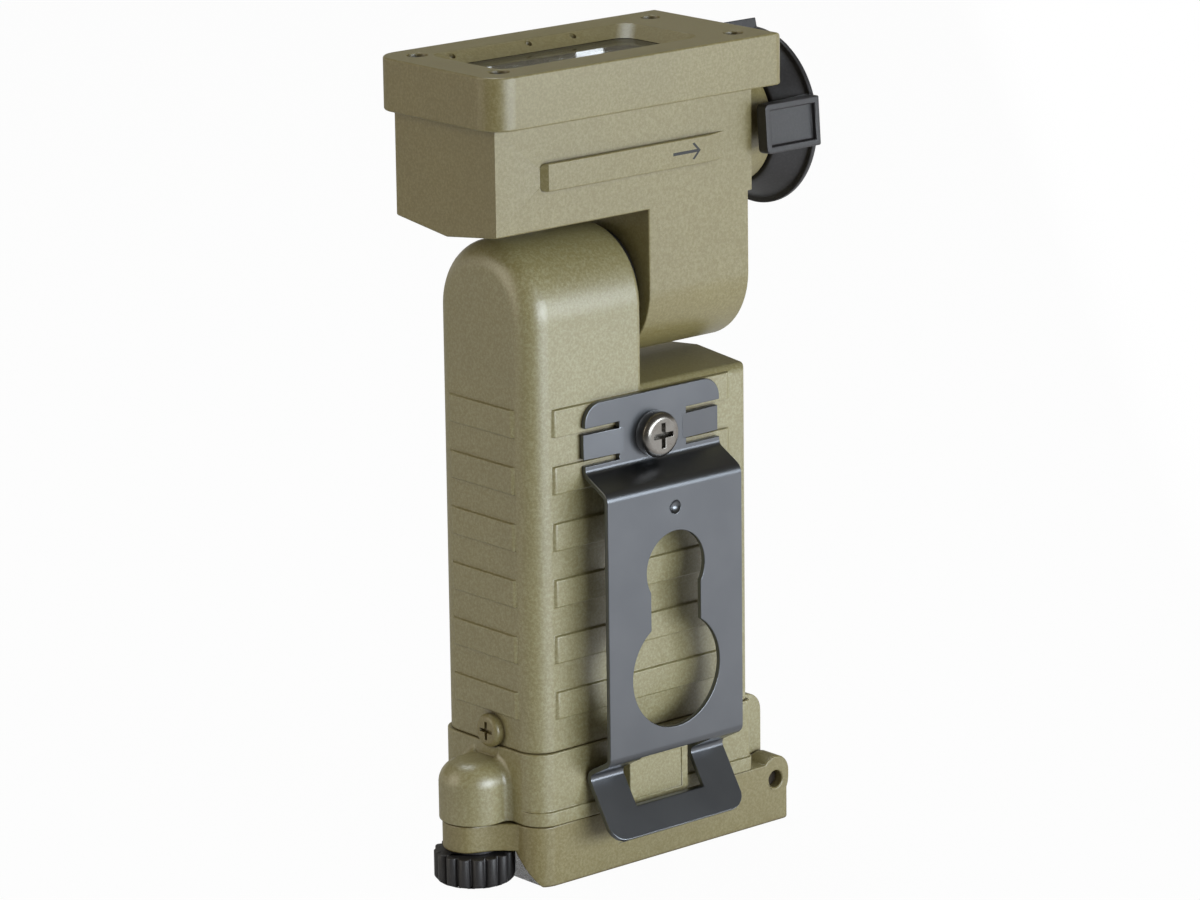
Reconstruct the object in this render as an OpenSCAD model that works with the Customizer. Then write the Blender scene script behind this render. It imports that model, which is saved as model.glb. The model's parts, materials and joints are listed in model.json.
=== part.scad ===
// Right-angle flashlight: a flat battery body for two AA cells, a tilting head on a side ear,
// a hinged battery door held by a thumb screw, and a sprung steel belt clip.
// Millimetres. The origin is on the foot, under the middle of the body. The clip faces -Y.

/* [Cells] */
// Diameter of one AA cell
cell_d = 14.5; // [13.5:0.1:14.6]
// Length of one AA cell with its nub
cell_l = 50.5; // [46:0.1:51]
// Gap between the two cells
cell_gap = 0.9; // [0.4:0.1:1.5]
// Room round each cell in its bay
bay_clear = 0.5; // [0.3:0.05:0.7]

/* [Body] */
// Width of the battery body
body_w = 41; // [40:0.5:46]
// Depth of the battery body
body_d = 21.4; // [21.2:0.1:24]
// Radius of the upright corners under the tower
corner_r = 3.7; // [2:0.1:4.5]
// Radius of the upright corners under the shoulder
shoulder_corner_r = 1.2; // [1:0.1:3]
// Width of the tower that carries the head
tower_w = 21; // [20:0.2:22]
// Wall between the tower room and the ear
tower_wall = 2.8; // [2.4:0.1:3.2]
// Fillet along the shoulder's top edges
shoulder_fillet = 1.6; // [0.8:0.1:2]
// Fall of the shoulder from its ridge to its edges
shoulder_fall = 0.9; // [0.4:0.1:1.2]
// Height of the pivot axis above the foot
pivot_z = 84; // [82:0.5:92]

/* [Grip pads] */
// Rows of grip pads
pad_rows = 6; // [3:1:6]
// Height of one grip pad
pad_h = 4; // [3:0.1:5]
// Distance from row to row
pad_pitch = 8.3; // [7:0.1:8.4]
// Distance of the top row below the shoulder's edge
pad_drop = 0.7; // [0.5:0.1:2]
// Height of the pads above the face
pad_proud = 0.45; // [0.3:0.05:0.5]
// Length of the pads on the wide faces
pad_front_l = 33.6; // [28:0.2:34]
// Length of the pads on the narrow faces
pad_side_l = 14.4; // [10:0.2:14.6]

/* [Base collar] */
// Height of the collar
collar_h = 10.9; // [9:0.1:12]
// Wall of the collar inside the line of the body
collar_wall = 1.6; // [1.4:0.05:1.7]
// Height of the collar's face above the body's face
collar_proud = 0.4; // [0.2:0.05:0.5]
// Height of the thicker rim at the collar's foot
rim_h = 2.1; // [1.5:0.1:3]
// Radius of the thumb screw boss
boss_r = 5; // [4.8:0.1:6]
// Height of the thumb screw boss
boss_h = 8.8; // [8:0.1:10]
// Radius of the dome on the boss
boss_dome_r = 3.4; // [2:0.1:3.6]
// Distance of the thumb screw from the body's face
thumb_reach = 2.9; // [2.2:0.1:4]
// Width of the keeper pad behind the clip's window
keeper_w = 11.2; // [8:0.2:11.6]
// Height of the keeper pad above the collar's face
keeper_proud = 1.5; // [1:0.1:1.6]

/* [Battery door] */
// Thickness of the door
door_h = 9.1; // [8.6:0.1:11]
// Gap between the door and the collar
door_gap = 0.15; // [0.1:0.05:0.25]
// Thickness of the tongue under the boss
tongue_t = 4.1; // [3.5:0.1:4.4]
// Radius of the tongue's end
tongue_r = 4.7; // [4.5:0.1:5.1]
// Radius of the finger scoop at the foot
scoop_r = 11; // [9:0.1:12]
// Radius of the finger scoop under the tongue
scoop_top_r = 6.4; // [6.2:0.1:7]
// Reach of the finger scoop in under the door
scoop_l = 8; // [6:0.5:10]
// Diameter of the hinge pin
pin_d = 2.5; // [2:0.1:2.8]
// Radius of the hinge knuckles
knuckle_r = 2.7; // [2.5:0.05:2.9]
// Distance of the hinge pin from the body's face
hinge_reach = 5; // [4.3:0.1:5.5]
// Width of each outer knuckle
knuckle_w = 4; // [3:0.1:5]

/* [Thumb screw] */
// Radius of the thumb knob over its ribs
thumb_r = 5.9; // [5.2:0.1:6]
// Ribs round the thumb knob
thumb_ribs = 16; // [10:1:18]
// Height of the thumb knob
thumb_h = 4.4; // [3.4:0.1:4.4]
// Diameter of the thumb screw's stud
stud_d = 3; // [2.5:0.1:3.2]
// Length of stud above the door
stud_up = 3; // [2:0.1:3.4]

/* [Belt clip] */
// Width of the clip
clip_w = 25.5; // [22:0.5:26]
// Thickness of the clip's steel
clip_t = 0.8; // [0.6:0.05:1]
// Distance of the clip's middle from the body's middle
clip_x = 1.2; // [0:0.1:2]
// Height of the clip from its lip to its top edge
clip_h = 64; // [62:0.5:64.5]
// Step from the mounting plate out to the leaf
clip_step = 4.7; // [3.5:0.1:5]
// Radius of the keyhole's large lobe
keyhole_r = 8.3; // [6:0.1:9]
// Radius of the keyhole's small lobe
keyhole_small_r = 5.5; // [4:0.1:6]
// Distance between the keyhole's lobes
keyhole_pitch = 15.4; // [12:0.1:16]
// Width of the keyhole's neck
keyhole_neck = 9.4; // [6:0.1:10]
// Width of the window between the clip's legs
window_w = 13; // [12:0.1:14]
// Diameter of the clip screw's head
clip_head_d = 6.7; // [5.5:0.1:7]

/* [Head] */
// Length of the head housing
head_l = 47.65; // [46:0.05:50]
// Depth of the head housing and its ear
head_d = 22; // [22:0.1:24]
// Overhang of the housing past the tower
head_reach = 5.8; // [5:0.1:7]
// Height from the pivot to the housing's keel
keel_up = 11.15; // [11.1:0.05:12]
// Rise of the housing's underside from keel to edges
keel_rise = 1.4; // [1.2:0.1:1.8]
// Height from the pivot to the bezel's foot
bezel_up = 27.8; // [27:0.1:29]
// Width of the ear beside the shoulder
ear_w = 19; // [18:0.1:19.6]
// Gap between tower and ear
ear_gap = 1.25; // [1:0.05:1.5]
// Gap between the ear and the shoulder below it
ear_lift = 1; // [0.6:0.1:1.2]
// Wall of the head housing
head_wall = 3.5; // [2.6:0.1:3.7]

/* [Bezel] */
// Height of the bezel
bezel_h = 7.6; // [7:0.1:9]
// Overhang of the bezel past the housing's left end
bezel_lip_left = 2; // [1.5:0.1:3]
// Overhang of the bezel in front and behind
bezel_lip_side = 2.5; // [1.5:0.1:3]
// Overhang of the bezel over the selector's end
bezel_lip_right = 4.25; // [3:0.05:4.3]
// Radius of the bezel's left corners
bezel_corner_r = 4; // [2:0.1:5]
// Length of the window's mouth
mouth_l = 37.2; // [36:0.1:41]
// Depth of the window's mouth
mouth_d = 16.6; // [14:0.1:17]
// Width of the sloping border round the lens
mouth_slope = 2.5; // [1.5:0.1:3]
// Thickness of the lens
lens_t = 1.8; // [1.2:0.1:2]

/* [Selector] */
// Radius of the selector's flange
flange_r = 13; // [12.5:0.1:13.4]
// Height of the selector axis above the pivot
selector_up = 20.6; // [20:0.1:21]
// Length of the pointer tab
pointer_l = 10.6; // [8:0.1:10.8]
// Width of the grip tabs
tab_w = 7.2; // [5:0.1:8]
// Radius over the grip tabs
tab_r = 13.9; // [13.6:0.1:14.2]
// Radius of the push button
button_r = 4.8; // [4:0.1:5.2]
// Travel of the push button
button_travel = 1; // [0.6:0.1:1.2]

/* [Hidden] */
$fn = 48;

// Finishes
tan_nylon = [0.56, 0.53, 0.40];
clip_steel = [0.36, 0.38, 0.41];
black_nylon = [0.12, 0.11, 0.12];
bright_steel = [0.72, 0.72, 0.70];
brass = [0.78, 0.63, 0.32];
rubber = [0.10, 0.10, 0.10];

// Fits
press_fit = 0.03;
slip_fit = 0.05;
loose_fit = 0.25;
seat_gap = 0.3;
past = 1;

// Levels of the body
seam_z = door_h + door_gap;
collar_top = seam_z + collar_h - door_gap;
body_x0 = -body_w / 2;
body_x1 = body_w / 2;
tower_x1 = body_x0 + tower_w;
tower_r = body_d / 2;
tower_edge_r = 1;
tower_drop = 1.2;
tower_z = pivot_z - tower_drop;
ear_r = head_d / 2;
ear_rise = 0.75;
shoulder_z = pivot_z - ear_r - ear_lift;
shoulder_edge_z = shoulder_z - shoulder_fall;
spigot_foot = seam_z + seat_gap;

// Cells and contacts, from the door upwards
bridge_t = 0.6;
cell_z = door_h + bridge_t + seat_gap;
cell_top = cell_z + cell_l;
cell_r = cell_d / 2;
cell_x = (cell_d + cell_gap) / 2;
nub_r = 2.75;
nub_h = 1;
contact_r = 4;
contact_wall = 0.6;
bridge_l = 2 * cell_x + 9;
spring_h = 5.2;
carrier_z = cell_top + seat_gap + spring_h;
carrier_t = 2.2;
bay_r = cell_r + bay_clear;
bay_top = carrier_z + carrier_t + seat_gap;
bay_waist = 7;
room_r = tower_r - 3;
room_floor = bay_top + 2;
room_x0 = body_x0 + 2.9;
room_x1 = tower_x1 - tower_wall;
wire_r = 2;

// Collar, door and hinge
collar_d = body_d + 2 * collar_proud;
collar_x0 = body_x0 - collar_proud;
collar_x1 = body_x1 + collar_proud;
thumb_x = body_x0 - thumb_reach;
hinge_x = body_x1 + hinge_reach;
hinge_z = door_h - 2.55;
door_x1 = hinge_x + knuckle_r;
lug_d = collar_d - 2 * knuckle_w - 2 * loose_fit;
lug_face = 0.9;
keeper_h = collar_h * 0.75;
keeper_frame = 1.2;
keeper_dish = 0.2;
lug_top_r = 2.8;
lug_h = 9.9;
knuckle_up = 0.9;
pin_r = pin_d / 2;
pin_short = 1.5;
tongue_z = door_h - tongue_t;
scoop_taper = 2;
gasket_z = door_h - 0.8;
gasket_in = 0.45;
insert_r = 2.6;
insert_h = 6;
insert_bore_r = stud_d / 2 + 0.55;
screw_r = 1.25;
collar_screw_y = -1.3;
collar_screw_z = collar_top + 2.1;
collar_screw_head_r = 2.45;
collar_screw_head_h = 1.5;
collar_screw_l = 3.4;

// Thumb screw under the tongue
thumb_washer_t = 0.45;
thumb_washer_r = 3.4;
thumb_washer_z = tongue_z - slip_fit - thumb_washer_t;
thumb_top = thumb_washer_z - slip_fit;
thumb_z = thumb_top - thumb_h;
rib_r = 0.85;

// Belt clip
pad_top = shoulder_edge_z - pad_drop;
pad_face = body_d / 2 + pad_proud;
clip_back = pad_face + slip_fit;
plate_y = -(clip_back + clip_t / 2);
leaf_y = plate_y - clip_step;
leg_step = 0.3;
lip_step = 0.8;
leg_y = plate_y + leg_step;
lip_y = leaf_y - lip_step;
clip_top_z = pad_top + 0.1;
lip_z = clip_top_z - clip_h;
plate_foot_z = clip_top_z - 10.3;
leaf_top_z = plate_foot_z - 2.5;
leaf_foot_up = 11.8;
leg_bend_up = 9.1;
leaf_foot_z = lip_z + leaf_foot_up;
leg_bend_z = lip_z + leg_bend_up;
clip_bend_r = 1.3;
clip_corner_r = 3;
slit_l = 6.4;
slit_w = 0.9;
tab_h = pad_pitch - pad_h - 2 * seat_gap;
tab_z = pad_top - (pad_pitch + pad_h) / 2;
slit_z = [tab_z + (tab_h + slit_w) / 2, tab_z - (tab_h + slit_w) / 2];
lip_band = 3.9;
window_h = 7.6;
window_z = lip_z + lip_band;
keyhole_rise = 11.5;
keyhole_z = leaf_foot_z + keyhole_rise;
keyhole_small_z = keyhole_z + keyhole_pitch;
dimple_z = leaf_top_z - 3.5;
dimple_r = 1.2;
clip_screw_z = tab_z;
clip_screw_r = 1.9;
clip_head_h = 2.3;
clip_insert_r = 2.7;
clip_insert_l = 3.2;

// Head
head_x0 = body_x0 - head_reach;
head_x1 = head_x0 + head_l;
keel_z = pivot_z + keel_up;
bezel_z = pivot_z + bezel_up;
bezel_top = bezel_z + bezel_h;
ear_x0 = tower_x1 + ear_gap;
ear_x1 = ear_x0 + ear_w;
wire_x = ear_x0 + 5;
bezel_x0 = head_x0 - bezel_lip_left;
bezel_x1 = head_x1 + bezel_lip_right;
bezel_d = head_d + 2 * bezel_lip_side;
bezel_right_r = 1.7;
bezel_end_r = 1.5;
rim_in = 1.5;
rim_up = 3.8;
rim_z = bezel_z + rim_up;
gasket_t = 0.4;
lens_z = rim_z + gasket_t;
lens_top = lens_z + lens_t;
lens_in = 1.2;
lens_r = 1.5;
mouth_x0 = bezel_x0 + 5.7;
mouth_r = 2.4;
pip_r = 0.5;
pip_up = 0.5;
pip_far_in = [4, 18, 26.3];
pip_near_in = 4.8;
pip_far_x = [for (u = pip_far_in) mouth_x0 + u];
pip_near_x = mouth_x0 + pip_near_in;
room_head_x0 = head_x0 + head_wall;
room_head_x1 = head_x1 - head_wall;
room_head_d = head_d - 2 * head_wall;
board_z = bezel_z - 6;
board_t = 1.2;
board_ledge = 2;
head_floor = keel_z + 3.4;
strip_x = [head_x0 + 8, head_x1 - 5];
strip_z = [bezel_z - 9.8, bezel_z - 5.8];
strip_proud = 0.9;
strip_r = 0.9;
strip_fade = 4;
bezel_screw_x = [head_x0 + 2.7, head_x1 - 1.6];
bezel_screw_y = head_d / 2 - 2;
bezel_screw_r = 0.9;
bezel_screw_head_r = 1.4;
bezel_screw_head_h = 1.1;
bezel_screw_sink = 0.4;
bezel_screw_l = 9;

// Pivot through the tower wall
ring_clear = 0.9;
ring_r = room_r - ring_clear;
ring_w = 1.8;
ring_t = 0.8;
ring_sink = 0.6;
sleeve_r = ring_r - ring_w;
sleeve_wall = 1.8;
sleeve_bore_r = sleeve_r - sleeve_wall;
sleeve_in = 2.6;
sleeve_out = 9;
sleeve_x0 = room_x1 - sleeve_in;
sleeve_x1 = ear_x0 + sleeve_out;
thrust_w = 3.5;
thrust_r = sleeve_r + thrust_w;
ring_groove_r = sleeve_r - ring_sink;
wave_t = 0.7;
o_ring_r = 0.6;

// Selector
selector_z = pivot_z + selector_up;
seat_x0 = head_x1;
seat_l = 5.8;
seat_r = 9.4;
seat_end_r = seat_r - 0.2;
hub_x0 = seat_x0 + seat_l + seat_gap;
hub_l = 4.3;
hub_r = 9.6;
hub_rim_r = flange_r - 0.9;
hub_waist_r = 10.8;
flange_x0 = hub_x0 + hub_l;
flange_t = 0.85;
flange_x1 = flange_x0 + flange_t;
flange_edge_r = 0.3;
pointer_x0 = flange_x1 - flange_edge_r - pointer_l;
pointer_turn = -4.5;
tab_pitch = 100;
tab_t = 2;
tab_x0 = bezel_x1 + seat_gap;
tab_dish = 0.8;
tab_frame = 1;
shaft_r = 2.5;
shaft_bore_r = 1.2;
shaft_x0 = room_head_x1 - 2;
shaft_x1 = hub_x0 + 2.2;
shaft_ring_r = 4.2;
shaft_ring_t = 0.7;
shaft_groove_r = 1.9;
shaft_o_ring_r = 0.7;
button_x0 = flange_x1 - 1.2;
button_x1 = flange_x1 + 0.6;
stem_r = 1;
stem_x0 = shaft_x0 - 1;
tact_x1 = stem_x0 - button_travel - 0.2;
tact_h = 2.4;
tact_w = 6;
tact_cap_r = 1.7;
tact_cap_h = 0.9;
switch_board_t = 1.2;
switch_board_x = tact_x1 - tact_h - switch_board_t;
switch_board_d = room_head_d - 2 * board_ledge - 2 * loose_fit;
switch_board_h = 11.5;

// Emitters
board_gap = 0.85;
board_x1 = switch_board_x - board_gap;
led_r = 1.6;
led_h = 1.4;
cup_n = 4;
cup_foot_r = 2;
cup_top_r = 3.7;
cup_pitch = (board_x1 - room_head_x0) / cup_n;
tray_top = rim_z - seat_gap;

// Outline of a plan with its own corner radius at each end
module plan(x0, x1, depth, left_r, right_r) {
    translate([x0 + left_r, -depth / 2]) square([x1 - x0 - left_r - right_r, depth]);
    translate([x0, -depth / 2 + left_r]) square([left_r, depth - 2 * left_r]);
    translate([x1 - right_r, -depth / 2 + right_r]) square([right_r, depth - 2 * right_r]);
    for (side = [-1, 1]) {
        translate([x0 + left_r, side * (depth / 2 - left_r)]) circle(left_r);
        translate([x1 - right_r, side * (depth / 2 - right_r)]) circle(right_r);
    }
}

// Upright block with that plan, between two heights
module block(x0, x1, depth, left_r, right_r, z0, z1) {
    translate([0, 0, z0]) linear_extrude(z1 - z0) plan(x0, x1, depth, left_r, right_r);
}

// Round bar along X, at height z
module bar_x(x0, x1, r, z) {
    translate([x0, 0, z]) rotate([0, 90, 0]) cylinder(h = x1 - x0, r = r);
}

// Flat ring round an axis along X
module ring_x(x0, x1, r_out, r_in, z) {
    difference() {
        bar_x(x0, x1, r_out, z);
        bar_x(x0 - past, x1 + past, r_in, z);
    }
}

// Ring of round section about an axis along X
module o_ring_x(x, mid_r, r, z) {
    translate([x, 0, z]) rotate([0, 90, 0]) rotate_extrude() translate([mid_r, 0]) circle(r, $fn = 24);
}

// Profile in depth and height, drawn out along X
module along_x(x0, x1) {
    translate([x0, 0, 0]) rotate([90, 0, 90]) linear_extrude(x1 - x0) children();
}

// Outline in X and height, drawn out along Y
module along_y(y0, y1) {
    translate([0, y1, 0]) rotate([90, 0, 0]) linear_extrude(y1 - y0) children();
}

// Cross recess of a screw, sunk from height zero downwards
module cross_recess(size, depth) {
    for (turn = [0, 90]) {
        rotate(turn) translate([-size / 2, -size / 10, -depth]) cube([size, size / 5, depth + past]);
    }
}

// Pan head on height zero, with its shank below and a cross recess
module pan_screw(head_r, head_h, shank_r, shank_l) {
    crown = head_h * 0.45;
    difference() {
        union() {
            rotate_extrude() {
                square([head_r, head_h - crown]);
                square([head_r - crown, head_h]);
                translate([head_r - crown, head_h - crown]) circle(crown);
            }
            translate([0, 0, -shank_l]) cylinder(h = shank_l, r = shank_r);
        }
        translate([0, 0, head_h]) cross_recess(head_r * 1.1, head_h * 0.5);
    }
}

// Two bays for the cells, joined by a narrower waist
module cell_bay(r, waist, z0, z1) {
    for (side = [-1, 1]) {
        translate([side * cell_x, 0, z0]) cylinder(h = z1 - z0, r = r);
    }
    translate([-cell_x, -waist / 2, z0]) cube([2 * cell_x, waist, z1 - z0]);
}

// Tower with a round top whose edges follow the upright corners
module tower() {
    block(body_x0, tower_x1, body_d, corner_r, tower_edge_r, collar_top, tower_z);
    translate([0, 0, tower_z]) rotate([0, 90, 0]) rotate_extrude() intersection() {
        rotate(90) plan(body_x0, tower_x1, body_d, corner_r, tower_edge_r);
        translate([0, -body_w]) square([body_d, 2 * body_w]);
    }
}

// Shoulder beside the tower, with a ridged roof and filleted edges
module shoulder() {
    f = shoulder_fillet;
    half = body_d / 2;
    intersection() {
        block(body_x0, body_x1, body_d, corner_r, shoulder_corner_r, collar_top, shoulder_z + past);
        along_x(body_x0, body_x1) {
            translate([-half, collar_top]) square([body_d, shoulder_edge_z - f - collar_top]);
            polygon([[f - half, collar_top], [half - f, collar_top], [half - f, shoulder_edge_z],
                [0, shoulder_z], [f - half, shoulder_edge_z]]);
            for (side = [-1, 1]) {
                translate([side * (half - f), shoulder_edge_z - f]) circle(f);
            }
        }
    }
}

// One grip pad with bevelled ends, standing on a face at distance `face` along -Y
module grip_pad(length, face) {
    l = length / 2;
    linear_extrude(pad_h) polygon([[-l, past - face], [-l, -face], [pad_proud - l, -face - pad_proud],
        [l - pad_proud, -face - pad_proud], [l, -face], [l, past - face]]);
}

// Rows of grip pads on the four faces of the body
module grip_pads() {
    top = pad_top - pad_h;
    for (row = [0 : pad_rows - 1]) {
        translate([0, 0, top - row * pad_pitch]) {
            for (turn = [0, 180]) {
                rotate(turn) grip_pad(pad_front_l, body_d / 2);
                rotate(turn + 90) grip_pad(pad_side_l, body_w / 2);
            }
        }
    }
}

module body_shell() {
    color(tan_nylon) difference() {
        union() {
            block(body_x0 + collar_wall, body_x1 - collar_wall, body_d - 2 * collar_wall,
                corner_r - collar_wall, corner_r - collar_wall, spigot_foot, collar_top);
            tower();
            shoulder();
            grip_pads();
        }
        cell_bay(bay_r, bay_waist, 0, bay_top);
        translate([room_x0, -room_r, room_floor])
            cube([room_x1 - room_x0, 2 * room_r, pivot_z - room_floor]);
        bar_x(room_x0, room_x1, room_r, pivot_z);
        translate([-cell_x, 0, bay_top - past]) cylinder(h = room_floor - bay_top + 2 * past, r = wire_r);
        bar_x(room_x1 - past, tower_x1 + past, sleeve_r + slip_fit, pivot_z);
        o_ring_seat();
        for (side = [-1, 1]) {
            collar_screw_place(side) translate([0, 0, -collar_screw_l - past])
                cylinder(h = collar_screw_l + 2 * past, r = screw_r + press_fit);
        }
        clip_screw_place() translate([0, 0, -clip_insert_l - slip_fit])
            cylinder(h = clip_insert_l + slip_fit + past, r = clip_insert_r + press_fit);
    }
}

// Groove for the pivot's sealing ring, in the tower wall
module o_ring_seat() {
    mid = (room_x1 + tower_x1) / 2;
    half = o_ring_r + slip_fit;
    bar_x(mid - half, mid + half, sleeve_r + 2 * half, pivot_z);
}

// Seat of a collar screw on a narrow face, with the head's underside at height zero
module collar_screw_place(side) {
    translate([side * body_w / 2, collar_screw_y, collar_screw_z]) rotate([0, side * 90, 0]) children();
}

// Seat of the clip screw on the body's front, with height zero on the face
module clip_screw_place() {
    translate([clip_x, -body_d / 2, clip_screw_z]) rotate([90, 0, 0]) children();
}

module base_collar() {
    color(tan_nylon) difference() {
        union() {
            difference() {
                union() {
                    block(collar_x0, collar_x1, collar_d, corner_r, shoulder_corner_r, seam_z, collar_top);
                    block(collar_x0, collar_x1, collar_d + 2 * collar_proud, corner_r, shoulder_corner_r,
                        seam_z, seam_z + rim_h);
                }
                block(body_x0 + collar_wall - slip_fit, body_x1 - collar_wall + slip_fit,
                    body_d - 2 * collar_wall + 2 * slip_fit, corner_r - collar_wall, corner_r - collar_wall,
                    seam_z - past, collar_top + past);
            }
            thumb_boss();
            keeper_pad();
            hinge_lug(seam_z + lug_h);
        }
        translate([thumb_x, 0, seam_z - past])
            cylinder(h = insert_h + past + seat_gap, r = insert_r + press_fit);
        translate([hinge_x, -collar_d, hinge_z]) rotate([-90, 0, 0])
            cylinder(h = 2 * collar_d, r = pin_r + press_fit);
        for (side = [-1, 1]) {
            collar_screw_place(side) translate([0, 0, -press_fit])
                cylinder(h = collar_screw_head_h, r = collar_screw_head_r + slip_fit);
        }
    }
}

// Domed boss that takes the thumb screw, joined to the collar's wall
module thumb_boss() {
    body = boss_r - boss_dome_r;
    difference() {
        union() {
            translate([thumb_x, 0, seam_z]) rotate_extrude() {
                square([boss_r, boss_h - boss_dome_r]);
                square([body, boss_h]);
                intersection() {
                    translate([body, boss_h - boss_dome_r]) circle(boss_dome_r);
                    square([boss_r, boss_h]);
                }
            }
            along_x(thumb_x, body_x0 + collar_wall) translate([0, seam_z]) {
                translate([-boss_r, 0]) square([2 * boss_r, boss_h - boss_dome_r]);
                translate([-body, 0]) square([2 * body, boss_h]);
                for (side = [-1, 1]) {
                    translate([side * body, boss_h - boss_dome_r]) circle(boss_dome_r);
                }
            }
        }
        block(body_x0 + collar_wall - slip_fit, body_x1, body_d - 2 * collar_wall + 2 * slip_fit,
            corner_r - collar_wall, corner_r - collar_wall, seam_z - past, collar_top + past);
    }
}

// Raised pad on the collar's front that shows through the clip's window, with a shallow panel in its face
module keeper_pad() {
    face = -collar_d / 2 - keeper_proud;
    difference() {
        translate([clip_x - keeper_w / 2, face, seam_z])
            cube([keeper_w, keeper_proud + collar_wall, keeper_h]);
        translate([clip_x - keeper_w / 2 + keeper_frame, face - past, seam_z + keeper_frame])
            cube([keeper_w - 2 * keeper_frame, past + keeper_dish, keeper_h - 2 * keeper_frame]);
    }
}

// Hinge lug that hangs from the collar's side between the door's knuckles
module hinge_lug(top_z) {
    along_y(-lug_d / 2, lug_d / 2) {
        translate([hinge_x, hinge_z]) circle(knuckle_r);
        translate([collar_x1 - collar_wall, seam_z])
            square([hinge_x + lug_face - collar_x1 + collar_wall, top_z - lug_top_r - seam_z]);
        translate([collar_x1 - collar_wall, seam_z])
            square([hinge_x + lug_face - lug_top_r - collar_x1 + collar_wall, top_z - seam_z]);
        translate([hinge_x + lug_face - lug_top_r, top_z - lug_top_r]) circle(lug_top_r);
        translate([hinge_x - knuckle_r, hinge_z]) square([knuckle_r + lug_face, seam_z - hinge_z]);
    }
}

module collar_screws() {
    color(tan_nylon) for (side = [-1, 1]) {
        collar_screw_place(side)
            pan_screw(collar_screw_head_r, collar_screw_head_h, screw_r, collar_screw_l);
    }
}

module boss_insert() {
    color(brass) translate([thumb_x, 0, seam_z + slip_fit]) difference() {
        cylinder(h = insert_h, r = insert_r);
        translate([0, 0, -past]) cylinder(h = insert_h + 2 * past, r = insert_bore_r);
    }
}

// Bent strip: the bends of its centre line are arcs, and its faces lie half a thickness to either side
clip_line = [[plate_y, clip_top_z], [plate_y, plate_foot_z], [leaf_y, leaf_top_z], [leaf_y, leaf_foot_z],
    [leg_y, leg_bend_z], [lip_y, lip_z]];
bend_steps = 6;
function heading(a, b) = atan2(b[1] - a[1], b[0] - a[0]);
function normal(h) = [-sin(h), cos(h)];
function turn_at(i) = let(
    t = heading(clip_line[i], clip_line[i + 1]) - heading(clip_line[i - 1], clip_line[i]))
    t > 180 ? t - 360 : t < -180 ? t + 360 : t;
function bend(i) = let(
    h = heading(clip_line[i - 1], clip_line[i]),
    t = turn_at(i),
    s = sign(t),
    start = clip_line[i] - clip_bend_r * tan(abs(t) / 2) * [cos(h), sin(h)],
    centre = start + s * clip_bend_r * normal(h))
    [for (k = [0 : bend_steps]) let(a = h + t * k / bend_steps) [centre - s * clip_bend_r * normal(a), a]];
clip_last = len(clip_line) - 1;
clip_path = concat([[clip_line[0], heading(clip_line[0], clip_line[1])]],
    [for (i = [1 : clip_last - 1]) each bend(i)],
    [[clip_line[clip_last], heading(clip_line[clip_last - 1], clip_line[clip_last])]]);
clip_section = concat([for (p = clip_path) p[0] + clip_t / 2 * normal(p[1])],
    [for (i = [len(clip_path) - 1 : -1 : 0]) clip_path[i][0] - clip_t / 2 * normal(clip_path[i][1])]);

// Front view of the clip, with its slits, keyhole and window
module clip_outline() {
    half = clip_w / 2;
    difference() {
        translate([0, lip_z - past]) {
            h = clip_top_z - lip_z + past;
            translate([-half + clip_corner_r, 0]) square([clip_w - 2 * clip_corner_r, h]);
            translate([-half, clip_corner_r]) square([clip_w, h - 2 * clip_corner_r]);
            for (side = [-1, 1], z = [clip_corner_r, h - clip_corner_r]) {
                translate([side * (half - clip_corner_r), z]) circle(clip_corner_r);
            }
        }
        for (side = [-1, 1]) {
            translate([side * (half - slit_l / 2 + past / 2), tab_z])
                square([slit_l + past, slit_z[0] - slit_z[1] + slit_w], center = true);
        }
        translate([0, keyhole_z]) circle(keyhole_r);
        translate([0, keyhole_small_z]) circle(keyhole_small_r);
        translate([-keyhole_neck / 2, keyhole_z]) square([keyhole_neck, keyhole_small_z - keyhole_z]);
        translate([-window_w / 2, window_z]) square([window_w, window_h]);
        translate([0, clip_screw_z]) circle(clip_screw_r + loose_fit);
    }
}

module belt_clip() {
    half = clip_w / 2;
    tab_bend = asin((pad_proud - slip_fit) / slit_l);
    color(clip_steel) translate([clip_x, 0, 0]) {
        difference() {
            union() {
                intersection() {
                    along_x(-half, half) polygon(clip_section);
                    along_y(lip_y - 2 * past, plate_y + 2 * past) clip_outline();
                }
                for (side = [-1, 1]) {
                    translate([side * (half - slit_l), plate_y, clip_screw_z]) rotate(side * tab_bend)
                        translate([side < 0 ? -slit_l : -clip_t, -clip_t / 2, -tab_h / 2])
                        cube([slit_l + clip_t, clip_t, tab_h]);
                }
            }
            translate([0, leaf_y - clip_t / 2 - dimple_r * 0.5, dimple_z]) sphere(dimple_r);
        }
    }
}

module clip_screw() {
    color(bright_steel) clip_screw_place() translate([0, 0, pad_proud + slip_fit + clip_t])
        pan_screw(clip_head_d / 2, clip_head_h, clip_screw_r, clip_insert_l - past + pad_proud + clip_t);
}

module clip_insert() {
    color(brass) clip_screw_place() translate([0, 0, -clip_insert_l]) difference() {
        cylinder(h = clip_insert_l, r = clip_insert_r);
        translate([0, 0, -past]) cylinder(h = clip_insert_l + 2 * past, r = clip_screw_r + press_fit);
    }
}

// AA cell standing on height zero, nub upwards
module cell() {
    cylinder(h = cell_l - nub_h, r = cell_r);
    cylinder(h = cell_l, r = nub_r);
}

module cell_left() {
    color(bright_steel) translate([-cell_x, 0, cell_z]) cell();
}

module cell_right() {
    color(bright_steel) translate([cell_x, 0, cell_top]) rotate([180, 0, 0]) cell();
}

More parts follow.
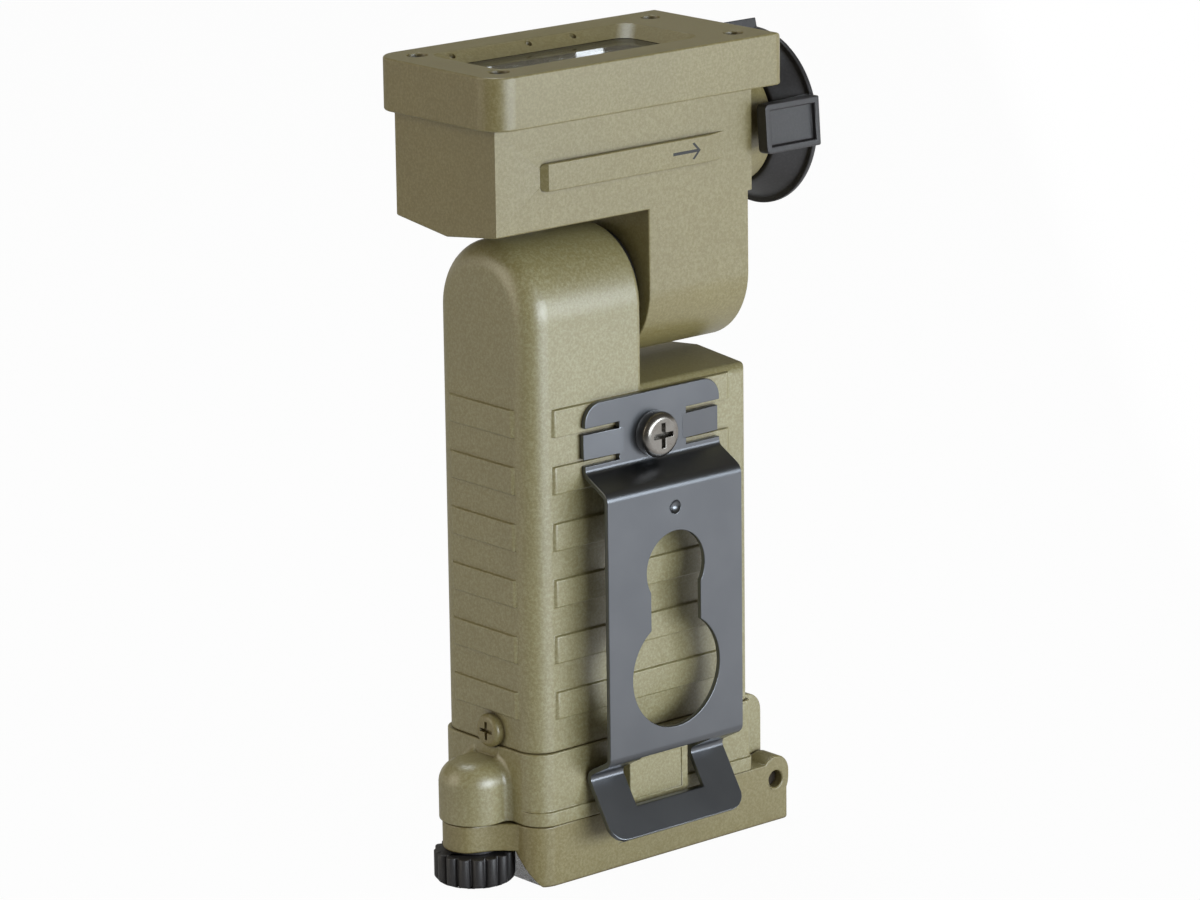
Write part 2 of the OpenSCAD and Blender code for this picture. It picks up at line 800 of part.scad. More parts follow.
module contact_carrier() {
    inset = slip_fit;
    color(black_nylon) difference() {
        cell_bay(bay_r - inset, bay_waist - 2 * inset, carrier_z, carrier_z + carrier_t);
        translate([-cell_x, 0, carrier_z - past]) cylinder(h = carrier_t + 2 * past, r = wire_r);
    }
}

module contact_button() {
    color(brass) translate([-cell_x, 0, cell_top + seat_gap]) difference() {
        cylinder(h = spring_h - slip_fit, r = contact_r);
        translate([0, 0, past]) cylinder(h = spring_h, r = contact_r - contact_wall);
    }
}

// Conical contact spring, one unbroken wire wound by a formula
spring_wire_r = 0.3;
spring_turns = 3.5;
spring_foot_r = 2.4;
spring_top_r = 5.4;
spring_rings = 36;
spring_sides = 6;
function spring_point(u) = let(
    r = spring_foot_r + (spring_top_r - spring_foot_r) * u,
    a = 360 * spring_turns * u,
    rise = spring_wire_r + (spring_h - 2 * spring_wire_r - slip_fit) * u) [r * cos(a), r * sin(a), rise];
function spring_ring(i) = let(u = i / spring_rings, p = spring_point(u), a = 360 * spring_turns * u)
    [for (k = [0 : spring_sides - 1]) let(b = 360 * k / spring_sides)
        p + spring_wire_r * [cos(b) * cos(a), cos(b) * sin(a), sin(b)]];

module contact_spring() {
    points = [for (i = [0 : spring_rings]) each spring_ring(i)];
    n = spring_sides;
    last = spring_rings * n;
    sides = [for (i = [0 : spring_rings - 1], k = [0 : n - 1]) let(a = i * n + k, b = i * n + (k + 1) % n)
        each [[a, a + n, b], [b, a + n, b + n]]];
    ends = [for (k = [1 : n - 2]) each [[0, k, k + 1], [last, last + k + 1, last + k]]];
    color(brass) translate([cell_x, 0, cell_top + seat_gap]) polyhedron(points, concat(sides, ends));
}

module pivot_o_ring() {
    color(rubber) o_ring_x((room_x1 + tower_x1) / 2, sleeve_r + slip_fit + o_ring_r, o_ring_r, pivot_z);
}

module thrust_washer() {
    color(black_nylon) ring_x(tower_x1, ear_x0 - 0.1, thrust_r, sleeve_r + slip_fit, pivot_z);
}

module wave_washer() {
    color(bright_steel) ring_x(room_x1 - wave_t, room_x1, ring_r, sleeve_r + slip_fit, pivot_z);
}

module hinge_pin() {
    half = collar_d / 2 - pin_short;
    color(bright_steel) translate([hinge_x, half, hinge_z]) rotate([90, 0, 0])
        cylinder(h = 2 * half, r = pin_r);
}

module battery_door() {
    notch_x = hinge_x - knuckle_r - 3 * loose_fit;
    color(tan_nylon) difference() {
        union() {
            difference() {
                union() {
                    block(collar_x0, door_x1 - knuckle_r, collar_d, corner_r, 0.5, 0, door_h);
                    block(0, door_x1, collar_d, 1, 1, 0, hinge_z);
                }
                finger_scoop();
            }
            door_tongue();
            along_y(-collar_d / 2, collar_d / 2) translate([hinge_x, hinge_z]) {
                circle(knuckle_r);
                translate([-knuckle_r, 0]) square([2 * knuckle_r, knuckle_up]);
                translate([0, knuckle_up]) circle(knuckle_r);
            }
        }
        translate([notch_x, -lug_d / 2 - loose_fit, hinge_z - knuckle_r - loose_fit])
            cube([knuckle_r * 3, lug_d + 2 * loose_fit, door_h]);
        translate([hinge_x, -collar_d, hinge_z]) rotate([-90, 0, 0])
            cylinder(h = 2 * collar_d, r = pin_r + slip_fit);
        translate([thumb_x, 0, tongue_z - past])
            cylinder(h = tongue_t + 2 * past, r = stud_d / 2 + loose_fit);
        door_gasket_ring(slip_fit, door_h + past);
    }
}

// Sloping scoop that lets fingers in round the thumb knob and on under the door
module finger_scoop() {
    slope = (scoop_r - scoop_top_r) / tongue_z;
    hull() {
        for (i = [0, 1]) {
            translate([thumb_x + i * scoop_l, 0, -past]) cylinder(h = tongue_z + past,
                r1 = scoop_r + slope * past - i * scoop_taper, r2 = scoop_top_r - i * scoop_taper);
        }
    }
}

// Tongue that reaches out under the boss, waisted where it joins the door
module door_tongue() {
    waist_r = 9;
    waist_bite = 1.6;
    corner = [collar_x0 + corner_r, -collar_d / 2 + corner_r];
    end = [thumb_x, 0];
    span = norm(corner - end);
    lean = heading(end, corner) - acos((tongue_r - corner_r) / span);
    out = [cos(lean), sin(lean)];
    a = end + tongue_r * out;
    b = corner + corner_r * out;
    middle = (a + b) / 2 + (waist_r - waist_bite) * out;
    translate([0, 0, tongue_z]) linear_extrude(tongue_t) difference() {
        union() {
            translate(end) circle(tongue_r);
            polygon([end, a, b, corner, [corner[0], -corner[1]], [b[0], -b[1]], [a[0], -a[1]]]);
        }
        for (side = [-1, 1]) {
            translate([middle[0], side * middle[1]]) circle(waist_r);
        }
    }
}

// Sealing ring round the mouth of the bays, from a groove in the door up to the body's foot
module door_gasket_ring(grow, top) {
    wide = 2 * (cell_x + bay_r) + 2.2;
    deep = body_d - 2 * collar_wall - 2 * gasket_in;
    outer_r = 6;
    line = 1.2;
    inset = line + 2 * grow;
    translate([0, 0, gasket_z - grow]) linear_extrude(top - gasket_z + grow) difference() {
        plan(-wide / 2 - grow, wide / 2 + grow, deep + 2 * grow, outer_r, outer_r);
        plan(-wide / 2 - grow + inset, wide / 2 + grow - inset, deep + 2 * grow - 2 * inset,
            outer_r - line, outer_r - line);
    }
}

module door_gasket() {
    color(rubber) door_gasket_ring(0, spigot_foot - slip_fit);
}

module contact_bridge() {
    color(brass) block(-bridge_l / 2, bridge_l / 2, bay_waist - 1, 2, 2, door_h, door_h + bridge_t);
}

module thumb_washer() {
    color(black_nylon) translate([thumb_x, 0, thumb_washer_z]) difference() {
        cylinder(h = thumb_washer_t, r = thumb_washer_r);
        translate([0, 0, -past]) cylinder(h = thumb_washer_t + 2 * past, r = stud_d / 2 + loose_fit / 2);
    }
}

// Knob with round ribs, spaced evenly round its edge and bevelled at the foot
module thumb_knob() {
    core_r = thumb_r - rib_r;
    edge = 0.5;
    color(black_nylon) translate([thumb_x, 0, thumb_z]) difference() {
        intersection() {
            linear_extrude(thumb_h) {
                circle(core_r);
                for (i = [0 : thumb_ribs - 1]) {
                    rotate(360 * (i + 0.5) / thumb_ribs) translate([core_r, 0]) circle(rib_r);
                }
            }
            rotate_extrude() polygon([[0, -past], [thumb_r - edge - past, -past],
                [thumb_r + past, edge + past], [thumb_r + past, thumb_h + past], [0, thumb_h + past]]);
        }
        translate([0, 0, past]) cylinder(h = thumb_h, r = stud_d / 2 + press_fit);
    }
}

module thumb_stud() {
    foot = thumb_z + past;
    color(bright_steel) translate([thumb_x, 0, foot])
        cylinder(h = door_h + stud_up - foot, r = stud_d / 2);
}

// Housing outline across the head, with its underside rising from the keel to both edges
module head_section(depth, top) {
    half = depth / 2;
    edge = keel_z + keel_rise;
    polygon([[-half, top], [half, top], [half, edge], [0, keel_z], [-half, edge]]);
}

module head_housing() {
    color(tan_nylon) difference() {
        union() {
            along_x(head_x0, head_x1) head_section(head_d, bezel_z);
            block(head_x0 + rim_in, head_x1 - rim_in, head_d - 2 * rim_in, 1, 1, bezel_z - past, rim_z);
            bar_x(ear_x0, ear_x1, ear_r, pivot_z + ear_rise);
            translate([ear_x0, -ear_r, pivot_z + ear_rise])
                cube([ear_w, head_d, keel_up + keel_rise - ear_rise]);
            selector_seat();
            head_strip();
        }
        block(room_head_x0, room_head_x1, room_head_d, 1, 1, board_z, rim_z + past);
        block(room_head_x0 + board_ledge, room_head_x1, room_head_d - 2 * board_ledge, 1, 1,
            head_floor, rim_z + past);
        bar_x(ear_x0 - past, sleeve_x1, sleeve_r + press_fit, pivot_z);
        translate([wire_x, 0, pivot_z]) cylinder(h = head_floor - pivot_z + past, r = wire_r);
        bar_x(room_head_x1 - past, seat_x0 + seat_l + past, shaft_r + slip_fit, selector_z);
        bar_x(seat_x0 - shaft_o_ring_r - slip_fit, seat_x0 + shaft_o_ring_r + slip_fit,
            shaft_r + 2 * shaft_o_ring_r + 2 * slip_fit, selector_z);
        bezel_screw_places() translate([0, 0, -bezel_screw_l])
            cylinder(h = bezel_screw_l, r = bezel_screw_r + press_fit);
    }
}

// Round seat of the selector on the head's right end, cut flat under the bezel
module selector_seat() {
    intersection() {
        translate([seat_x0, 0, selector_z]) rotate([0, 90, 0])
            cylinder(h = seat_l, r1 = seat_r, r2 = seat_end_r);
        translate([seat_x0, -seat_r, selector_z - seat_r])
            cube([seat_l, 2 * seat_r, bezel_z - slip_fit - selector_z + seat_r]);
    }
}

// Raised strip on the head's front, with a sloping left end and a right end that runs out into the face
module head_strip() {
    r = strip_r;
    face = -head_d / 2;
    tall = strip_z[1] - strip_z[0];
    intersection() {
        translate([0, 0, strip_z[0]]) linear_extrude(tall) polygon([[strip_x[0], face + past],
            [strip_x[0], face], [strip_x[0] + strip_proud, face - strip_proud],
            [strip_x[1] - strip_fade, face - strip_proud], [strip_x[1], face], [strip_x[1], face + past]]);
        along_y(face - strip_proud, face + past) {
            translate([strip_x[0] + r, strip_z[0]]) square([strip_x[1] - strip_x[0] - r, tall]);
            translate([strip_x[0], strip_z[0] + r]) square([r, tall - 2 * r]);
            for (z = [strip_z[0] + r, strip_z[1] - r]) {
                translate([strip_x[0] + r, z]) circle(r);
            }
        }
    }
}

// Places of the four bezel screws, with height zero on the seat of the heads
module bezel_screw_places() {
    seat = bezel_top - bezel_screw_sink - bezel_screw_head_h;
    for (x = bezel_screw_x, side = [-1, 1]) {
        translate([x, side * bezel_screw_y, seat]) children();
    }
}

module lens_bezel() {
    color(tan_nylon) difference() {
        bezel_block();
        block(head_x0 + rim_in - slip_fit, head_x1 - rim_in + slip_fit,
            head_d - 2 * rim_in + 2 * slip_fit, 1, 1, bezel_z - past, lens_z);
        block(head_x0 + rim_in + lens_in - slip_fit, head_x1 - rim_in - lens_in + slip_fit,
            head_d - 2 * (rim_in + lens_in) + 2 * slip_fit, lens_r, lens_r, bezel_z, lens_top + slip_fit);
        window_mouth();
        bezel_screw_places() {
            cylinder(h = bezel_screw_head_h + bezel_screw_sink + past, r = bezel_screw_head_r + slip_fit);
            translate([0, 0, -bezel_h]) cylinder(h = bezel_h + past, r = bezel_screw_r + slip_fit);
        }
        for (x = pip_far_x) {
            window_pip(x, 1);
        }
        window_pip(pip_near_x, -1);
    }
}

// Solid of the bezel, with its top rounded over at the selector's end
module bezel_block() {
    r = bezel_end_r;
    intersection() {
        block(bezel_x0, bezel_x1, bezel_d, bezel_corner_r, bezel_right_r, bezel_z, bezel_top);
        along_y(-bezel_d / 2, bezel_d / 2) {
            translate([bezel_x0, bezel_z]) square([bezel_x1 - bezel_x0 - r, bezel_h]);
            translate([bezel_x0, bezel_z]) square([bezel_x1 - bezel_x0, bezel_h - r]);
            translate([bezel_x1 - r, bezel_top - r]) circle(r);
        }
    }
}

// Sloping mouth of the window, from the bezel's top down to the lens
module window_mouth() {
    s = mouth_slope;
    hull() {
        block(mouth_x0, mouth_x0 + mouth_l, mouth_d, mouth_r, mouth_r,
            bezel_top, bezel_top + past, $fn = 32);
        block(mouth_x0 + s, mouth_x0 + mouth_l - s, mouth_d - 2 * s, mouth_r, mouth_r,
            lens_top, lens_top + 0.1, $fn = 32);
    }
}

// Small drilled mark on the window's sloping border
module window_pip(x, side) {
    translate([x, side * (mouth_d / 2 - mouth_slope / 3), lens_top + pip_up])
        cylinder(h = bezel_h, r = pip_r);
}

module bezel_screws() {
    color(black_nylon) bezel_screw_places()
        pan_screw(bezel_screw_head_r, bezel_screw_head_h, bezel_screw_r, bezel_screw_l - past);
}

module lens() {
    inset = rim_in + lens_in;
    color([0.8, 0.9, 0.95, 0.4]) block(head_x0 + inset, head_x1 - inset, head_d - 2 * inset, lens_r, lens_r,
        lens_z, lens_top);
}

module lens_gasket() {
    inset = rim_in + lens_in;
    color(rubber) difference() {
        block(head_x0 + inset, head_x1 - inset, head_d - 2 * inset, lens_r, lens_r, rim_z, lens_z);
        block(room_head_x0, room_head_x1, room_head_d, 1, 1, rim_z - past, lens_z + past);
    }
}

// Centre of each emitter along the board
function cup_x(i) = room_head_x0 + cup_pitch * (i + 0.5);

module reflector_tray() {
    foot = board_z + board_t;
    color(bright_steel) difference() {
        block(room_head_x0 + slip_fit, board_x1, room_head_d - 2 * slip_fit, 1, 1, foot, tray_top);
        for (i = [0 : cup_n - 1]) {
            translate([cup_x(i), 0, foot - past]) cylinder(h = past + 0.01, r = cup_foot_r);
            translate([cup_x(i), 0, foot]) cylinder(h = tray_top - foot, r1 = cup_foot_r, r2 = cup_top_r);
            translate([cup_x(i), 0, tray_top]) cylinder(h = past, r = cup_top_r);
        }
    }
}

module led_board() {
    color([0.10, 0.30, 0.16])
        block(room_head_x0 + slip_fit, board_x1, room_head_d - 2 * slip_fit, 1, 1,
            board_z, board_z + board_t);
}

// Emitter with a domed top, standing on the board
module emitter(i, r) {
    translate([cup_x(i), 0, board_z + board_t]) {
        cylinder(h = led_h - r * 0.5, r = r);
        translate([0, 0, led_h - r * 0.5]) intersection() {
            sphere(r);
            cylinder(h = r, r = r);
        }
    }
}

module led_infrared() {
    color([0.25, 0.05, 0.10]) emitter(0, led_r);
}

module led_blue() {
    color([0.2, 0.4, 0.9]) emitter(1, led_r);
}

module led_white() {
    color([0.95, 0.9, 0.6]) emitter(2, led_r * 1.15);
}

module led_red() {
    color([0.8, 0.1, 0.1]) emitter(3, led_r);
}

module switch_board() {
    color([0.10, 0.30, 0.16]) translate([switch_board_x, -switch_board_d / 2, head_floor])
        cube([switch_board_t, switch_board_d, switch_board_h]);
}

module tact_switch() {
    base = tact_h - tact_cap_h;
    color(black_nylon) {
        translate([switch_board_x + switch_board_t, -tact_w / 2, selector_z - tact_w / 2])
            cube([base, tact_w, tact_w]);
        bar_x(switch_board_x + switch_board_t + base, tact_x1, tact_cap_r, selector_z);
    }
}

module pivot_sleeve() {
    ring_x0 = room_x1 - wave_t - slip_fit - ring_t;
    color(bright_steel) difference() {
        bar_x(sleeve_x0, sleeve_x1, sleeve_r, pivot_z);
        bar_x(sleeve_x0 - past, sleeve_x1 + past, sleeve_bore_r, pivot_z);
        ring_x(ring_x0 - press_fit, ring_x0 + ring_t + press_fit, sleeve_r + past, ring_groove_r, pivot_z);
        translate([wire_x, 0, pivot_z]) cylinder(h = sleeve_r + past, r = wire_r);
    }
}

module pivot_ring() {
    ring_x0 = room_x1 - wave_t - slip_fit - ring_t;
    color(bright_steel) ring_x(ring_x0, ring_x0 + ring_t, ring_r, ring_groove_r + press_fit, pivot_z);
}

// Dished hub, flange and grip tabs, turned about the selector axis
module selector_knob() {
    color(black_nylon) difference() {
        union() {
            translate([0, 0, selector_z]) rotate([0, 90, 0]) rotate_extrude() {
                polygon([[0, hub_x0], [hub_r, hub_x0], [hub_waist_r, hub_x0 + hub_l / 2],
                    [hub_rim_r, flange_x0], [hub_rim_r, flange_x1], [0, flange_x1]]);
                translate([0, flange_x0]) square([flange_r, flange_t - flange_edge_r]);
                translate([0, flange_x0]) square([flange_r - flange_edge_r, flange_t]);
                translate([flange_r - flange_edge_r, flange_x1 - flange_edge_r]) circle(flange_edge_r);
            }
            selector_tab(pointer_turn, pointer_x0);
            for (i = [1, 2]) {
                selector_tab(pointer_turn - i * tab_pitch, tab_x0);
            }
        }
        bar_x(button_x0 - button_travel - 0.2, flange_x1 + past, button_r + 2 * slip_fit, selector_z);
        bar_x(hub_x0 - past, shaft_x1, shaft_r + press_fit, selector_z);
        bar_x(hub_x0, flange_x1, shaft_bore_r, selector_z);
    }
}

// Grip tab that faces -Y at turn 0, as a frame round a dished face
module selector_tab(turn, x0) {
    x1 = flange_x1 - flange_edge_r;
    translate([0, 0, selector_z]) rotate([turn, 0, 0]) difference() {
        translate([x0, -tab_r, -tab_w / 2]) cube([x1 - x0, tab_t, tab_w]);
        translate([x0 + tab_frame, -tab_r - past, tab_frame - tab_w / 2])
            cube([x1 - x0 - 2 * tab_frame, past + tab_dish, tab_w - 2 * tab_frame]);
    }
}

module selector_shaft() {
    groove_x = room_head_x1 - slip_fit - shaft_ring_t;
    color(bright_steel) difference() {
        bar_x(shaft_x0, shaft_x1, shaft_r, selector_z);
        bar_x(shaft_x0 - past, shaft_x1 + past, shaft_bore_r, selector_z);
        ring_x(groove_x - press_fit, groove_x + shaft_ring_t + press_fit, shaft_r + past,
            shaft_groove_r, selector_z);
    }
}

module shaft_ring() {
    x0 = room_head_x1 - slip_fit - shaft_ring_t;
    color(bright_steel) ring_x(x0, x0 + shaft_ring_t, shaft_ring_r, shaft_groove_r + press_fit, selector_z);
}

module shaft_o_ring() {
    color(rubber) o_ring_x(seat_x0, shaft_r + slip_fit + shaft_o_ring_r, shaft_o_ring_r, selector_z);
}

module push_button() {
    edge = 0.5;
    color(black_nylon) {
        translate([0, 0, selector_z]) rotate([0, 90, 0]) rotate_extrude() {
            translate([0, button_x0]) square([button_r, button_x1 - button_x0 - edge]);
            translate([0, button_x0]) square([button_r - edge, button_x1 - button_x0]);
            translate([button_r - edge, button_x1 - edge]) circle(edge);
        }
        bar_x(stem_x0, button_x0 + edge, stem_r, selector_z);
    }
}

body_shell();
base_collar();
collar_screws();
boss_insert();
belt_clip();
clip_screw();
clip_insert();
cell_left();
cell_right();
contact_carrier();
contact_button();
contact_spring();
pivot_o_ring();
thrust_washer();
wave_washer();
hinge_pin();
battery_door();
door_gasket();
contact_bridge();
thumb_washer();
thumb_knob();
thumb_stud();
head_housing();
lens_bezel();
bezel_screws();
lens();
lens_gasket();
reflector_tray();
led_board();
led_white();
led_red();
led_blue();
led_infrared();
switch_board();
tact_switch();
pivot_sleeve();
pivot_ring();
selector_knob();
selector_shaft();
shaft_ring();
shaft_o_ring();
push_button();
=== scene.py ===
"""Dresses the flashlight's solids: rounded edges, moulded and metal finishes, printed arrow and studio."""

import json
import math

import bmesh
import bpy
from bpy.props import FloatProperty, FloatVectorProperty, IntProperty, PointerProperty
from bpy.types import Operator, Panel, PropertyGroup
from mathutils import Matrix, Vector
from mathutils.bvhtree import BVHTree


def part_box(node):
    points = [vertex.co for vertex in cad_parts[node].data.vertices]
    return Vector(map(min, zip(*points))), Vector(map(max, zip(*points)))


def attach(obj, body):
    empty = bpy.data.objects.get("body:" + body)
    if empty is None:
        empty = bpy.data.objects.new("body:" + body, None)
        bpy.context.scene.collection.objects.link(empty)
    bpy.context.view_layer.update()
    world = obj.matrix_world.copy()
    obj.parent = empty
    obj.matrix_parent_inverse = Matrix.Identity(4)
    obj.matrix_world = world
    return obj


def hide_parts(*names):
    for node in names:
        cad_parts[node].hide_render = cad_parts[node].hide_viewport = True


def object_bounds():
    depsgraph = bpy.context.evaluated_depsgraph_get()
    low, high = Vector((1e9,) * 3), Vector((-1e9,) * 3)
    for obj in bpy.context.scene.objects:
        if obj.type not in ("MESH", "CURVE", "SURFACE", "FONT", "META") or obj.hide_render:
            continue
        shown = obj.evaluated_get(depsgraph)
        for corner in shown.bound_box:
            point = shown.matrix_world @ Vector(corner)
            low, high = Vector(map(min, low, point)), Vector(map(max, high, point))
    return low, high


bl_info = {
    "name": "Right-angle flashlight",
    "version": (1, 0, 0),
    "blender": (4, 5, 0),
    "location": "3D View > Sidebar > Flashlight",
    "description": "Dresses the flashlight's solids with rounded edges, finishes and a studio",
    "category": "Object",
}

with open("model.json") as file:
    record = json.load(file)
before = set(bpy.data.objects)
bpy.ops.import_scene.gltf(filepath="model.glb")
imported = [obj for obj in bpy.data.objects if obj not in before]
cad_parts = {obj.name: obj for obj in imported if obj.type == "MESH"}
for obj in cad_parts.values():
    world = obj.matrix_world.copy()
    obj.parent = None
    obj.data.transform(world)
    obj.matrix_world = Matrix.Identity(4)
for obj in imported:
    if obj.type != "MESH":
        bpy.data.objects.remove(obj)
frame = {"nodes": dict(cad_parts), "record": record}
solid_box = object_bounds()

MM = 0.001
STRIP_PROUD = 0.9 * MM
STRIP_SLOPE_END = -17.2 * MM
LIP_RUN = (0.0, -5.8, -9.1)
TOWARDS_CAMERA = (-0.649, -0.760, 0.0)
TO_THE_RIGHT = (0.760, -0.649, 0.0)
ROOM_LEVEL = 0.16
FLOOR_WHITE = 0.97
PAPER_FAR = (0.62, 0.62, 0.62)
PAPER_NEAR = (0.30, 0.30, 0.30)
CAMERA_PLACE = (-471.53, -553.78, 250.56)
CAMERA_TURN = (0.70684, 0.25674, -0.01296)
BODY_OF = {node: body for body, nodes in frame["record"]["behaviour"]["bodies"].items() for node in nodes}
SLOT_OF = {part["node"]: part["material_slot"] for part in frame["record"]["subparts"]}


def length(name, description, default):
    """A property for a length, in metres."""
    kind = {"precision": 5, "unit": "LENGTH", "subtype": "DISTANCE"}
    return FloatProperty(name=name, description=description, default=default, min=0.0, **kind)


def colour(name, description, default):
    """A property for a linear colour."""
    return FloatVectorProperty(
        name=name, description=description, default=default, min=0.0, max=1.0, size=3, subtype="COLOR"
    )


def share(name, description, default):
    """A property for a share between 0 and 1."""
    kind = {"max": 1.0, "subtype": "FACTOR"}
    return FloatProperty(name=name, description=description, default=default, min=0.0, **kind)


def brightness(name, description, default):
    """A property for how brightly a lamp shines."""
    return FloatProperty(name=name, description=description, default=default, min=0.0)


class EdgeSizes(PropertyGroup):
    """Radii that take the sharpness off each piece."""

    pad: length("Grip pads", "Radius on the edges of the body and its grip pads", 0.2 * MM)
    collar: length("Collar", "Radius on the edges of the collar round the foot", 0.2 * MM)
    blend: length("Boss blend", "Radius where the boss runs into the collar", 1.1 * MM)
    door: length("Door", "Radius on the edges of the battery door", 0.3 * MM)
    scoop: length("Scoop", "Extra length of the finger scoop under the door", 8.0 * MM)
    head: length("Head", "Radius on the edges of the head", 0.22 * MM)
    bezel: length("Bezel", "Radius on the edges of the bezel", 0.3 * MM)
    clip: length("Clip", "Radius on the edges of the belt clip", 0.13 * MM)
    lip: length("Clip lip", "Radius of the corners of the clip's lip", 2.6 * MM)
    knob: length("Knobs", "Radius on the edges of the selector, the thumb screw and the button", 0.2 * MM)
    pointer: length("Pointer", "Radius on the corners of the selector's pointer", 0.8 * MM)
    screw: length("Screws", "Radius on the edges of the screws", 0.06 * MM)
    steps: IntProperty(name="Steps", description="Faces across a rounded edge", default=3, min=1, max=6)


class FinishSizes(PropertyGroup):
    """Colours and grain of the finishes."""

    nylon: colour("Nylon", "Colour of the moulded nylon", (0.200, 0.160, 0.055))
    nylon_pale: colour("Nylon, pale", "Colour of the nylon's pale specks", (0.275, 0.235, 0.108))
    # The body's colours are paler than the head's nylon: partly its own surface, partly a painted sheen.
    body_tone_and_sheen: colour("Body nylon", "Colour of the body's nylon", (0.235, 0.198, 0.078))
    body_specks_and_sheen: colour("Body nylon, pale", "Colour of the body's pale specks", (0.335, 0.305, 0.165))
    nylon_rough: share("Nylon roughness", "Roughness of the moulded nylon", 0.42)
    grain: length("Nylon grain", "Size of the nylon's moulded grain", 0.36 * MM)
    steel: colour("Clip steel", "Colour of the clip's dark steel", (0.150, 0.158, 0.172))
    steel_rough: share("Clip roughness", "Roughness of the clip's steel", 0.31)
    black: colour("Black nylon", "Colour of the knobs", (0.022, 0.020, 0.021))
    ink: colour("Ink", "Colour of the printed arrow", (0.018, 0.017, 0.018))


class StageSizes(PropertyGroup):
    """Camera and lights."""

    lens: FloatProperty(
        name="Lens", description="Focal length of the camera", default=156.0, min=1.0, unit="CAMERA"
    )
    key: brightness("Key light", "Radiance of the softbox in front", 9.7)
    fill: brightness("Fill light", "Radiance of the softbox at the left", 2.0)
    top: brightness("Top light", "Radiance of the softbox overhead", 14.0)
    glint: brightness("Glints", "Radiance of the two lamps in the lens", 3.0)
    tint: colour("Light colour", "Colour of the key and the top softbox", (0.86, 0.935, 1.0))
    warm: colour("Fill colour", "Colour of the fill softbox and the room", (1.0, 0.93, 0.78))


class Value:
    """A socket whose arithmetic adds Math nodes."""

    def __init__(self, nodes, socket):
        self.nodes = nodes
        self.socket = socket

    def math(self, operation, *values):
        """A Math node on these values."""
        return self.nodes.add("ShaderNodeMath", {"operation": operation}, dict(enumerate(values)))

    def __add__(self, other):
        return self.math("ADD", self, other)

    def __radd__(self, other):
        return self.math("ADD", other, self)

    def __sub__(self, other):
        return self.math("SUBTRACT", self, other)

    def __rsub__(self, other):
        return self.math("SUBTRACT", other, self)

    def __mul__(self, other):
        return self.math("MULTIPLY", self, other)

    def ramp(self, low, high):
        """This value as a share of the way from low to high, held between 0 and 1 and eased at both ends."""
        values = {"Value": self, "From Min": low, "From Max": high}
        return self.nodes.add("ShaderNodeMapRange", {"interpolation_type": "SMOOTHSTEP"}, values)


class Nodes:
    """A node tree. Its nodes come from one method, and colours and vectors from Mix and Vector Math."""

    def __init__(self, tree):
        self.tree = tree
        tree.nodes.clear()

    def add(self, kind, settings=None, values=None, output=0):
        """A node with these settings, then these socket values or links; returns one of its outputs."""
        node = self.tree.nodes.new(kind)
        for name, setting in (settings or {}).items():
            setattr(node, name, setting)
        for name, value in (values or {}).items():
            self.put(node.inputs[name], value)
        return Value(self, node.outputs[output]) if node.outputs else None

    def put(self, socket, value):
        """Links or sets a socket."""
        if isinstance(value, Value):
            self.tree.links.new(value.socket, socket)
        elif hasattr(value, "__len__") and not isinstance(value, str):
            socket.default_value = (*value, 1.0) if len(socket.default_value) > len(value) else tuple(value)
        else:
            socket.default_value = value

    def mix(self, factor, a, b):
        """Two colours mixed."""
        return self.add("ShaderNodeMix", {"data_type": "RGBA"}, {0: factor, 6: a, 7: b}, 2)

    def noise(self, where, scale, detail=2.0, rough=0.5):
        """Noise at that scale per metre, between 0 and 1."""
        values = {"Vector": where, "Scale": scale, "Detail": detail, "Roughness": rough}
        return self.add("ShaderNodeTexNoise", None, values)

    def dot(self, where, along):
        """How far a place lies along a direction."""
        return self.add("ShaderNodeVectorMath", {"operation": "DOT_PRODUCT"}, {0: where, 1: along}, "Value")

    def seen(self):
        """1 for rays from the camera, from gloss and through glass, 0 for rays that only light the scene."""
        kinds = ("Camera", "Glossy", "Transmission")
        rays = [self.add("ShaderNodeLightPath", output=f"Is {kind} Ray") for kind in kinds]
        return rays[0].math("MAXIMUM", rays[0], rays[1].math("MAXIMUM", *rays[1:]))

    def stretch(self, where, by):
        """Coordinates multiplied along each axis."""
        return self.add("ShaderNodeVectorMath", {"operation": "MULTIPLY"}, {0: where, 1: by})


def finish(name, values, paint=None):
    """A material with these values on its Principled shader. paint adds what varies over the surface."""
    made = bpy.data.materials.new(name + "_finish")
    made.use_nodes = True
    nodes = Nodes(made.node_tree)
    where = nodes.add("ShaderNodeTexCoord", output="Object")
    varied = paint(nodes, where) if paint else {}
    shader = nodes.add("ShaderNodeBsdfPrincipled", None, {**values, **varied})
    nodes.add("ShaderNodeOutputMaterial", None, {"Surface": shader})
    return made


def bump(nodes, height, strength, distance):
    """Normal that a height gives, in metres."""
    return nodes.add("ShaderNodeBump", None, {"Height": height, "Strength": strength, "Distance": distance})


def crevice_shade_mask(nodes, distance):
    """1 in the open and 0 deep in a crevice: the mask for the painted shade in crevices."""
    return nodes.add("ShaderNodeAmbientOcclusion", {"samples": 8}, {"Distance": distance}, "AO")


